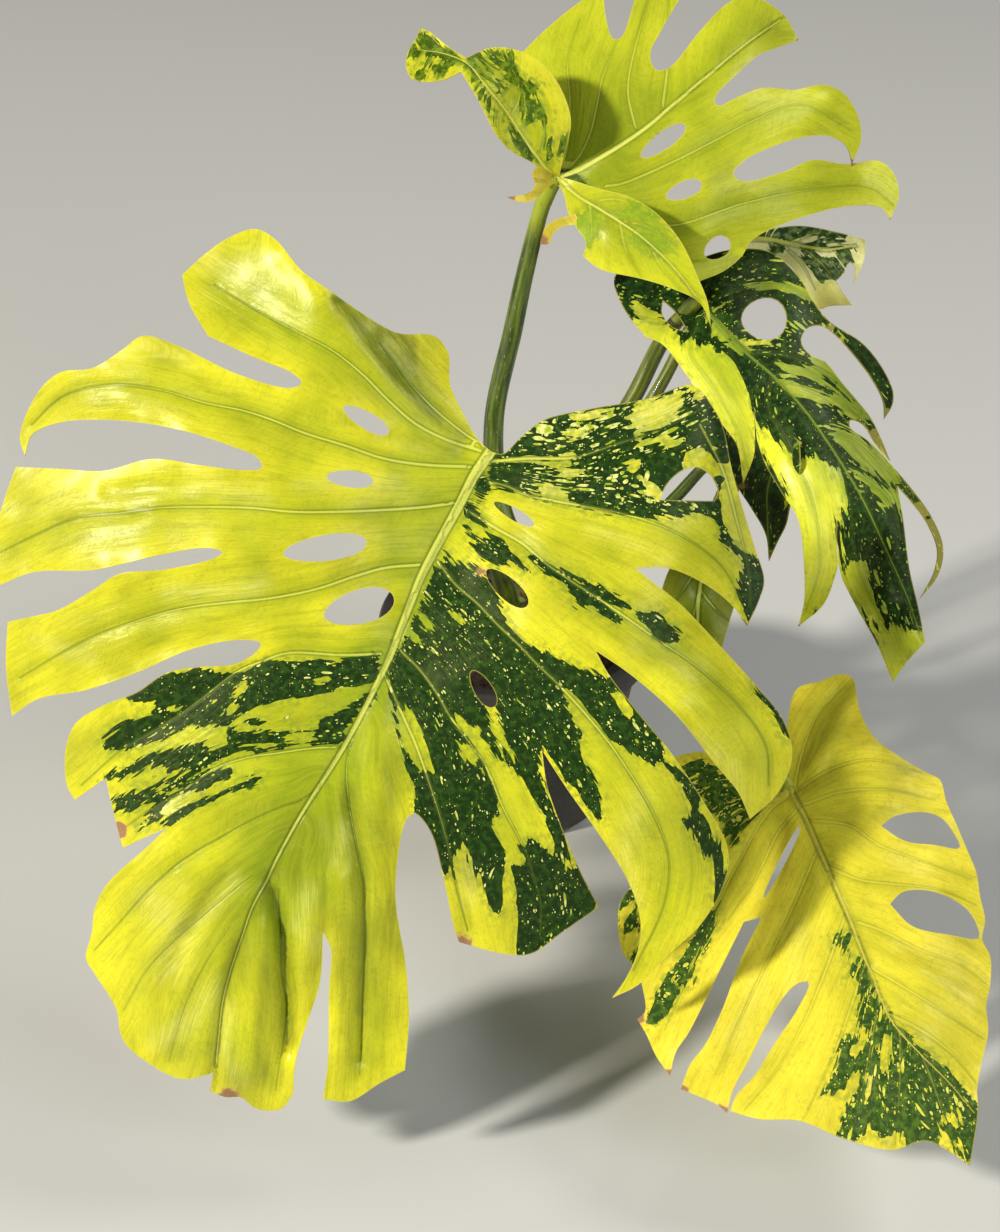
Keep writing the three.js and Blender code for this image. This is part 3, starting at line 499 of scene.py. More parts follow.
# The nearest point of a line: how far it is, how far along it lies, and on which side of the line
# the given point is (positive on the right of the line as drawn on the grid).
def nearLine(line, x, y):
    line = np.asarray(line, float)
    best = np.full(len(x), np.inf)
    square = np.zeros(len(x))
    along = np.zeros(len(x))
    walked = 0.0
    for (ax, ay), (bx, by) in zip(line[:-1], line[1:]):
        dx, dy = bx - ax, by - ay
        length = math.hypot(dx, dy)
        t = np.clip(((x - ax) * dx + (y - ay) * dy) / length ** 2, 0, 1)
        away = np.hypot(x - ax - t * dx, y - ay - t * dy)
        off = (dx * (y - ay) - dy * (x - ax)) / length
        take = (away < best - 1e-6) | ((np.abs(away - best) < 1e-6) & (np.abs(off) > np.abs(square)))
        best = np.where(take, away, best)
        square = np.where(take, off, square)
        along = np.where(take, walked + t * length, along)
        walked += length
    return best, along, np.where(square < 0, -1.0, 1.0)


def loopReach(loop, x, y):
    closed = np.vstack([loop, loop[:1]])
    away = nearLine(closed, x, y)[0]
    return np.where(inLoop(np.asarray(loop, float), x, y), away, -away)


def bentPlate(handles):
    spots = np.array(handles, float)
    knots = spots[:, :2] / 100
    count = len(knots)

    def kernel(square):
        return np.where(square > 0, square * np.log(np.maximum(square, 1e-12)), 0)

    matrix = np.zeros((count + 3, count + 3))
    matrix[:count, :count] = kernel(((knots[:, None] - knots[None]) ** 2).sum(2))
    matrix[:count, count] = matrix[count, :count] = 1
    matrix[:count, count + 1:] = knots
    matrix[count + 1:, :count] = knots.T
    weights = np.linalg.solve(matrix, np.concatenate([spots[:, 2], np.zeros(3)]))

    def lift(x, y):
        here = np.stack([x, y], axis=1) / 100
        bend = kernel(((here[:, None] - knots[None]) ** 2).sum(2)) @ weights[:count]
        return bend + weights[count] + here @ weights[count + 1:]

    return lift


def softNoise(x, y, size, seed):
    return np.array([noise.noise(Vector((a / size, b / size, seed))) for a, b in zip(x, y)])


def stretched(line, before, after):
    first, last = line[0] - line[1], line[-1] - line[-2]
    return np.vstack([line[0] + first / np.linalg.norm(first) * before, line,
                      line[-1] + last / np.linalg.norm(last) * after])


# How far each point of a blade lies from its veins and its rib.
def veinFields(leaf, x, y):
    gaps = []
    veinGap = np.full(len(x), 50.0)
    for width, course in leaf["veins"]:
        line = smoothLine(course, bladeBuild["lineStep"])
        away, along, _ = nearLine(line, x, y)
        length = np.linalg.norm(np.diff(line, axis=0), axis=1).sum()
        share = along / length
        half = 0.5 * width * (1 - bladeBuild["veinTaper"] * share)
        fading = 0.8 * np.clip(share - 0.45, 0, 1)
        veinGap = np.minimum(veinGap, away * view["stepMm"] - half + fading)
        gaps.append(away)
    rib = smoothLine(leaf["midrib"], bladeBuild["ribStep"])
    ribAway, ribAlong, _ = nearLine(rib, x, y)
    length = np.linalg.norm(np.diff(rib, axis=0), axis=1).sum()
    wide, narrow = leaf["ribWidth"]
    thinning = np.clip(ribAlong / length * leaf.get("ribThinning", 1.0), 0, 1) ** 0.8
    ribHalf = 0.5 * (wide + (narrow - wide) * thinning)
    ribGap = ribAway * view["stepMm"] - ribHalf
    gaps = np.sort(np.array(gaps + [ribAway]), axis=0)
    return {"veinGap": veinGap, "ribGap": ribGap, "ribHalf": ribHalf, "ribShare": ribHalf * 2 / wide,
            "spread": (gaps[0] + gaps[1]) * view["stepMm"]}


# Where each point lies on the course of the veins: how far along them, and how far across from one
# to the next, blended between the veins on its side of the rib.
def veinCourse(leaf, x, y):
    rib = stretched(smoothLine(leaf["midrib"], bladeBuild["courseStep"]), 60, 60)
    away, along, side = nearLine(rib, x, y)
    course = np.stack([along, away * side], axis=1)
    ahead = rib[-1] - rib[0]
    for half in (-1, 1):
        here = side == half
        found = []
        for _, text in leaf["veins"]:
            line = smoothLine(text, bladeBuild["courseStep"])
            middle = line[len(line) // 2]
            if nearLine(rib, line[:1, 0], line[:1, 1])[0][0] > 60 \
                    or nearLine(rib, middle[:1], middle[1:])[2][0] != half:
                continue
            out = middle - rib[0]
            turn = abs(math.atan2(ahead[0] * out[1] - ahead[1] * out[0], ahead @ out))
            found.append((turn, stretched(line, 0.5, 80)))
        if not found or not here.any():
            continue
        found.sort(key=lambda pair: pair[0])
        base, total, weights, before = 0.0, 0.0, 0.0, None
        for _, line in found:
            middle = line[len(line) // 2]
            if before is not None:
                gap = nearLine(before, middle[:1], middle[1:])
                base += gap[0][0] * gap[2][0]
            before = line
            gap, along, turn = nearLine(line, x[here], y[here])
            weight = 1 / (gap + 2)[:, None] ** 3
            total = total + weight * np.stack([along, base + gap * turn], axis=1)
            weights = weights + weight
        course[here] = total / weights
    return course * view["stepMm"]


def offsetLine(line, away):
    line = np.asarray(line, float)
    way = np.gradient(line, axis=0)
    way /= np.linalg.norm(way, axis=1, keepdims=True)
    return line + np.stack([-way[:, 1], way[:, 0]], axis=1) * away


def clearOf(points, others, distance):
    near = np.full(len(points), np.inf)
    for first in range(0, len(others), 400):
        part = others[first:first + 400]
        near = np.minimum(near, np.sqrt(((points[:, None] - part[None]) ** 2).sum(2)).min(1))
    return near > distance


# The flat net of a sheet: rim and lines first, then a grid that keeps clear of them, all triangulated.
def sheetNet(leaf, loops):
    spacing = bladeBuild["spacing"]
    points, edges = [], []
    for loop in loops:
        start = len(points)
        points += [tuple(p) for p in loop]
        edges += [(start + i, start + (i + 1) % len(loop)) for i in range(len(loop))]

    def covered(x, y):
        inside = inLoop(loops[0], x, y)
        for loop in loops[1:]:
            inside &= ~inLoop(loop, x, y)
        return inside

    rib = smoothLine(leaf["midrib"], spacing)
    flanks = [side * leaf["ribWidth"][0] * share for side in (-1, 1) for share in (0.55, 1.15, 2.2)]
    lines = [rib] + [offsetLine(rib, away) for away in flanks]
    lines += [smoothLine(course, spacing) for _, course in leaf["veins"]]
    for line in lines:
        keep = covered(line[:, 0], line[:, 1]) & clearOf(line, np.array(points), 0.42 * spacing)
        kept = {}
        for i in np.nonzero(keep)[0]:
            kept[i] = len(points)
            points.append(tuple(line[i]))
        edges += [(kept[i], kept[i + 1]) for i in kept if i + 1 in kept]
    low, high = loops[0].min(0), loops[0].max(0)
    rows = np.arange(low[1], high[1], spacing * 0.866)
    grid = np.array([(x + (row % 2) * spacing / 2, y) for row, y in enumerate(rows)
                     for x in np.arange(low[0], high[0], spacing)])
    grid = grid[covered(grid[:, 0], grid[:, 1])]
    grid = grid[clearOf(grid, np.array(points), 0.62 * spacing)]
    points += [tuple(p) for p in grid]

    net, _, faces, _, _, _ = delaunay_2d_cdt([Vector(p) for p in points], edges, [], 0, 1e-4)
    flat = np.array([tuple(p) for p in net])
    faces = np.array([tuple(face) for face in faces])
    middle = flat[faces].mean(1)
    faces = faces[covered(middle[:, 0], middle[:, 1])]
    used = np.unique(faces)
    renumber = np.full(len(flat), -1)
    renumber[used] = np.arange(len(used))
    flat, faces = flat[used], renumber[faces]
    a, b, c = (flat[faces[:, k]] for k in range(3))
    turn = (b[:, 0] - a[:, 0]) * (c[:, 1] - a[:, 1]) - (b[:, 1] - a[:, 1]) * (c[:, 0] - a[:, 0])
    faces[turn > 0] = faces[turn > 0][:, ::-1]          # seen from the camera, the grid's y runs down
    return flat, faces


def sheetLift(sheet, leaf, layer, fields, x, y):
    lift = bentPlate(spots(sheet["lifts"]))(x, y)
    for drop, line in sheet.get("folds", []):
        away, _, side = nearLine(spots(line), x, y)
        off = away * side
        lift -= drop * view["stepMm"] * (off + np.sqrt(off ** 2 + bladeBuild["foldRound"] ** 2) - 2)
    room = np.clip(fields["spread"] / bladeBuild["quiltRoom"], 0, 1)
    swell = 1 - np.exp(-np.maximum(fields["veinGap"], 0) / bladeBuild["quiltWidth"])
    lift += bladeBuild["quilt"] * leaf.get("quilt", 1.0) * room * (swell - 0.5)
    lift += room * bladeBuild["swell"] * softNoise(x, y, bladeBuild["swellSize"], 3.1 + layer)
    edge = np.exp(-fields["rimGap"] / bladeBuild["rippleReach"])
    lift += bladeBuild["ripple"] * edge * softNoise(x, y, bladeBuild["rippleSize"], 9.7 + layer)
    for line, width, drop in leaf.get("creases", []):
        away = nearLine(smoothLine(line, bladeBuild["lineStep"]), x, y)[0]
        lift -= drop * np.exp(-(away / width) ** 2)
    rise = np.clip(-fields["ribGap"] / fields["ribHalf"], 0, 1)
    groove = np.exp(-(np.maximum(fields["ribGap"], 0) / bladeBuild["ribGroove"]) ** 2)
    ridge = np.sqrt(1 - (1 - rise) ** 2)
    ribHeight = bladeBuild["ribHeight"] * leaf.get("ribRise", 1.0) * fields["ribShare"] ** 0.7
    return lift + ribHeight * (ridge - groove)


# What the materials read at each point of a sheet.
def sheetMarks(sheet, leaf, layer, fields, x, y):
    def nearest(rows, straight=False):
        field = np.zeros(len(x))
        for text, width, amount in rows:
            line = spots(text) if straight else smoothLine(text, bladeBuild["lineStep"])
            field = np.maximum(field, amount * np.exp(-(nearLine(line, x, y)[0] / width) ** 2))
        return field

    # painted shade along the shade lines and inside the shade marks
    paintedShade = nearest(leaf.get("paintedShades", []))
    green = np.full(len(x), -60.0)
    for kind, patch in leaf["marks"]:
        inside = loopReach(traceLoop(patch, bladeBuild["patchStep"]), x, y) * view["stepMm"]
        if kind == "green":
            green = np.maximum(green, inside)
        elif kind == "paintedShade":
            paintedShade = np.maximum(paintedShade, 0.85 * np.clip(inside / 2.5 + 0.3, 0, 1))
        elif not sheet.get("neverClear"):
            green = np.minimum(green, -inside)
    tint = np.full(len(x), {**leafLook, **leaf["look"], **sheet.get("look", {})}["warmth"])
    for cx, cy, size, amount in spots(leaf.get("tints", "")):
        tint += amount * np.exp(-((x - cx) ** 2 + (y - cy) ** 2) / size ** 2)
    burn = np.zeros(len(x))
    for cx, cy, size in spots(leaf.get("burns", "")):
        burn = np.maximum(burn, 1.2 - np.hypot(x - cx, y - cy) / size)
    place = np.stack([x * view["stepMm"], y * view["stepMm"], np.full(len(x), 40.0 * layer)], axis=1)
    course = np.concatenate([veinCourse(leaf, x, y), np.full((len(x), 1), 7.3 * layer)], axis=1)
    return {
        "greenReach": np.clip(green, -30, 30), "tint": tint, "burn": np.clip(burn, 0, 1.2), "paintedShade": paintedShade,
        "paintedSheenAndFlecks": nearest(leaf.get("paintedSheensAndFlecks", []), straight=True), "bladePlace": place, "veinCourse": course,
        **{name: fields[name] for name in ("ribGap", "veinGap", "rimGap")},
    }


def buildSheet(sheet, leaf, layer):
    leaf = dict(leaf, **{key: value for key, value in sheet.items() if key != "look"})
    spacing = bladeBuild["spacing"]
    loops = [traceLoop(sheet["outline"], spacing)]
    loops += [ovalLoop(hole, spacing) for hole in spots(sheet.get("holes", ""))]
    loops += [traceLoop(window, spacing) for window in sheet.get("windows", [])]
    flat, faces = sheetNet(leaf, loops)
    x, y = flat[:, 0], flat[:, 1]
    fields = veinFields(leaf, x, y)
    rimGap = np.full(len(x), np.inf)
    for loop in loops:
        rimGap = np.minimum(rimGap, nearLine(np.vstack([loop, loop[:1]]), x, y)[0])
    fields["rimGap"] = rimGap * view["stepMm"]
    centre = onGrid(x, y, sheet["depth"] - sheetLift(sheet, leaf, layer, fields, x, y))

    normal = np.zeros_like(centre)
    across = np.cross(centre[faces[:, 1]] - centre[faces[:, 0]], centre[faces[:, 2]] - centre[faces[:, 0]])
    for k in range(3):
        np.add.at(normal, faces[:, k], across)
    normal /= np.maximum(np.linalg.norm(normal, axis=1, keepdims=True), 1e-12)
    thicker = bladeBuild["thickness"] - bladeBuild["rimThickness"]
    body = bladeBuild["rimThickness"] + thicker * np.clip(fields["rimGap"] / bladeBuild["rimReach"], 0, 1)
    besideRib = np.maximum(fields["ribGap"] + fields["ribHalf"], 0) / (1.1 * fields["ribHalf"])
    keel = bladeBuild["keel"] * leaf.get("ribRise", 1.0) * fields["ribShare"] * np.exp(-besideRib ** 2)
    besideVein = np.maximum(fields["veinGap"], 0) / 1.3
    keel += bladeBuild["veinKeel"] * np.exp(-besideVein ** 2) * np.clip(fields["rimGap"] / 6, 0, 1)
    upper = centre + normal * (body / 2000)[:, None]
    lower = centre - normal * ((body / 2 + keel) / 1000)[:, None]

    count = len(x)
    directed = np.concatenate([faces[:, [0, 1]], faces[:, [1, 2]], faces[:, [2, 0]]])
    seen = {tuple(edge) for edge in directed.tolist()}
    border = np.array([edge for edge in seen if (edge[1], edge[0]) not in seen])
    border = border[np.lexsort((border[:, 1], border[:, 0]))]
    wall = np.concatenate([np.stack([border[:, 1], border[:, 0], border[:, 0] + count], axis=1),
                           np.stack([border[:, 1], border[:, 0] + count, border[:, 1] + count], axis=1)])
    slots = np.concatenate([np.zeros(len(faces)), np.ones(len(faces)), np.zeros(len(wall))]).astype(int)
    marks = sheetMarks(sheet, leaf, layer, fields, x, y)
    marks = {name: np.concatenate([value, value]) for name, value in marks.items()}
    return np.vstack([upper, lower]), np.vstack([faces, faces[:, ::-1] + count, wall]), slots, marks


def meshFrom(name, points, triangles, slots=None, marks=None):
    mesh = bpy.data.meshes.new(name)
    mesh.from_pydata(points.tolist(), [], triangles.tolist())
    mesh.update()
    if slots is not None:
        mesh.polygons.foreach_set("material_index", slots.astype(np.int32))
    for key, value in (marks or {}).items():
        if value.ndim == 2:
            mesh.attributes.new(key, "FLOAT_VECTOR", "POINT").data.foreach_set("vector", value.ravel())
        else:
            mesh.attributes.new(key, "FLOAT", "POINT").data.foreach_set("value", value)
    thing = bpy.data.objects.new(name, mesh)
    bpy.context.scene.collection.objects.link(thing)
    return thing


def smoothShade(thing, angle):
    bpy.ops.object.select_all(action="DESELECT")
    thing.select_set(True)
    bpy.context.view_layer.objects.active = thing
    bpy.ops.object.shade_smooth_by_angle(angle=math.radians(angle))
    thing.select_set(False)


def buildBlade(name, leaf):
    points, triangles, slots, marks, finishes = [], [], [], [], []
    for layer, sheet in enumerate(leaf["sheets"]):
        part = buildSheet(sheet, leaf, layer)
        if layer == 0 or "look" in sheet:
            own = dict(leaf, look=dict(leaf["look"], **sheet.get("look", {})))
            finishes += [leafFinish(f"{name}Blade{layer}Top", own, underside=False),
                         leafFinish(f"{name}Blade{layer}Under", own, underside=True)]
        triangles.append(part[1] + sum(len(p) for p in points))
        points.append(part[0])
        slots.append(part[2] + len(finishes) - 2)
        marks.append(part[3])
    joined = {key: np.concatenate([part[key] for part in marks]) for key in marks[0]}
    blade = meshFrom(name + "Blade", np.vstack(points), np.vstack(triangles), np.concatenate(slots), joined)
    for finish in finishes:
        blade.data.materials.append(finish)
    smoothShade(blade, 60)
    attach(blade, "root")
    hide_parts("blade_" + name)
    print(name, "blade:", len(blade.data.polygons), "faces")
    return blade


# stalks
stalkBuild = {
    "rings": 90, "sides": 28, "footRadius": 0.008,
    "knuckle": 0.16, "knuckleAt": 0.955, "knuckleWidth": 0.035,
    "wrinkle": 0.02, "wrinkleAt": 0.95, "wrinkleWidth": 0.03,
    "groove": 0.10, "grooveWidth": 0.45,
    "sheath": 0.35, "sheathReach": 0.32, "sheathSide": 0.75, "sheathWidth": 0.30,
}


def onStem(angle, z):
    turn = math.radians(angle)
    return [stalkBuild["footRadius"] * math.cos(turn), stalkBuild["footRadius"] * math.sin(turn), z / 1000]


def alongStalk(route, rings):
    line = smoothRun(route, 0.002)
    walked = np.concatenate([[0], np.cumsum(np.linalg.norm(np.diff(line, axis=0), axis=1))])
    marks = np.linspace(0, walked[-1], rings)
    centre = np.stack([np.interp(marks, walked, line[:, k]) for k in range(3)], axis=1)
    way = np.gradient(centre, axis=0)
    way /= np.linalg.norm(way, axis=1, keepdims=True)
    up = np.zeros_like(centre)
    # an upright route has no upper side, so its seam is turned to the back
    side = (0.0, 0.0, 1.0) if abs(way[0][2]) < 0.95 else (0.0, 1.0, 0.0)
    up[0] = np.cross(way[0], np.cross(side, way[0]))
    up[0] /= np.linalg.norm(up[0])
    for i in range(1, rings):
        carried = up[i - 1] - way[i] * (up[i - 1] @ way[i])
        up[i] = carried / np.linalg.norm(carried)
    return centre, up, np.cross(way, up), walked[-1]


# A closed tube along a route. shape(share, angle) scales the radius round each ring.
def tubeAlong(name, route, radii, rings, sides, shape):
    centre, up, across, length = alongStalk(route, rings)
    share = np.linspace(0, 1, rings)
    radius = np.interp(share, np.linspace(0, 1, len(radii)), np.array(radii, float) / 1000)
    angle = np.arange(sides) * 2 * math.pi / sides
    spoke = radius[:, None] * shape(share[:, None], angle[None, :])
    points = (centre[:, None] + up[:, None] * (np.cos(angle) * spoke)[..., None]
              + across[:, None] * (np.sin(angle) * spoke)[..., None]).reshape(-1, 3)
    points = np.vstack([points, centre[:1], centre[-1:]])
    start, end = len(points) - 2, len(points) - 1
    triangles = []
    for k in range(sides):
        after = (k + 1) % sides
        for i in range(rings - 1):
            low, high = i * sides, (i + 1) * sides
            triangles.append((low + k, low + after, high + after))
            triangles.append((low + k, high + after, high + k))
        triangles.append((start, after, k))
        triangles.append((end, (rings - 1) * sides + k, (rings - 1) * sides + after))
    turns = np.stack([np.cos(angle), np.sin(angle)], axis=1)
    lengthwise = np.repeat(share * length * 1000, sides)[:, None]
    place = np.concatenate([np.tile(turns * 6, (rings, 1)), lengthwise], axis=1)
    place = np.vstack([place, [[0, 0, 0], [0, 0, length * 1000]]])
    along = np.concatenate([np.repeat(share, sides), [0, 1]])
    return meshFrom(name, points, np.array(triangles), None, {"stalkPlace": place, "stalkShare": along})


def makeStalkFinish(name, look):
    finish, tree, shader = newFinish(name)
    place = fieldOf(tree, "stalkPlace", vector=True)
    share = fieldOf(tree, "stalkShare")
    stripes = cloud(tree, place, (0.35, 0.35, 0.03), 3.0)
    blotch = cloud(tree, place, (0.12, 0.12, 0.05))
    specks = cloud(tree, place, (1.0, 1.0, 0.35), 1.0)
    # painted light and shade: the top of the petiole is lime and the rest darker, split at a crisp edge like
    # a shadow's
    paintedLitTop = plus(tree, ramp(tree, share, look["limeFrom"], look["limeFrom"] + 0.10),
                  scaled(tree, blotch, 0.5, -0.25), clamp=True)
    skin = paintOver(tree, look["deep"], (
        (ramp(tree, stripes, 0.38, 0.66), look["green"]),
        (paintedLitTop, look["lime"]),
        (ramp(tree, stripes, 0.62, 0.74, 0.0, 0.45), look["lime"]),
        (ramp(tree, specks, 0.66, 0.76, 0.0, 0.5), (0.42, 0.44, 0.14)),
        (ramp(tree, specks, 0.33, 0.25, 0.0, 0.45), (0.05, 0.05, 0.01)),
        (ramp(tree, share, 0.0, 0.10, 0.7, 0.0), (0.19, 0.13, 0.045)),
    ))
    wire(tree, shader, Base_Color=skin, Roughness=ramp(tree, blotch, 0.3, 0.7, 0.30, 0.46))
    shader.inputs["Coat Weight"].default_value = 0.12
    height = scaled(tree, stripes, 0.5, times(tree, specks, 0.08))
    addBump(tree, shader, height, 0.001, 0.8)
    return finish


def buildStalk(name, leaf):
    stalk = leaf["stalk"]

    def shape(share, angle):
        def near(value, middle, width):
            return np.exp(-((value - middle) / stalkBuild[width]) ** 2)

        under, side = math.pi, stalkBuild["sheathSide"]
        knuckle = 1 + stalkBuild["knuckle"] * near(share, stalkBuild["knuckleAt"], "knuckleWidth")
        wrinkle = stalkBuild["wrinkle"] * near(share, stalkBuild["wrinkleAt"], "wrinkleWidth")
        groove = 1 - stalkBuild["groove"] * near(angle, under, "grooveWidth") * (1 - share)
        wings = near(angle, under + side, "sheathWidth") + near(angle, under - side, "sheathWidth")
        wings = wings * stalkBuild["sheath"] * np.clip(1 - share / stalkBuild["sheathReach"], 0, 1) ** 1.5
        wings = wings * np.clip(share / 0.06, 0, 1)
        return knuckle * (1 + wrinkle * np.sin(share * 420)) * groove * (1 + wings)

    route = [stalk["foot"]] + [onGrid(*spot) for spot in spots(stalk["course"])]
    tube = tubeAlong(name + "Petiole", route, stalk["radii"], stalkBuild["rings"], stalkBuild["sides"], shape)
    look = dict(stalkLook, **stalk.get("look", {}))
    tube.data.materials.append(makeStalkFinish(name + "PetioleSkin", look))
    smoothShade(tube, 60)
    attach(tube, "root")
    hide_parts("petiole_" + name)


# The leaves as the camera sees them, in grid steps: outlines and lifts are those of the solids, and
# veins and markings are drawn over them. "x,y" is a point, and "x,y,z" a point with a lift or depth
# in millimetres. A hole is "x,y,length,width,tilt", a tint "x,y,size,amount" and a burn "x,y,size".
# A vein is its width and line, a fold its drop and line, a crease, painted shade or painted sheen its line,
# reach and amount, and a mark its kind and outline. A clear mark takes the green away again; a shade mark is
# painted shade.
leafLook = {
    "lime": (0.35, 0.43, 0.014), "gold": (0.80, 0.755, 0.026), "dark": (0.005, 0.026, 0.003),
    "mid": (0.021, 0.068, 0.007), "fleck": (0.76, 0.78, 0.24), "rib": (0.66, 0.70, 0.12),
    "scorch": (0.26, 0.12, 0.045), "under": (0.42, 0.46, 0.12), "olive": (0.13, 0.17, 0.010),
    "flecks": 1.0, "ragged": 6.0, "marble": 6.0, "warmth": 0.35, "veil": 0.6, "veins": 1.0,
}
stalkLook = {
    "deep": (0.034, 0.062, 0.006), "green": (0.12, 0.17, 0.013), "lime": (0.34, 0.40, 0.025),
    "limeFrom": 0.80,
}

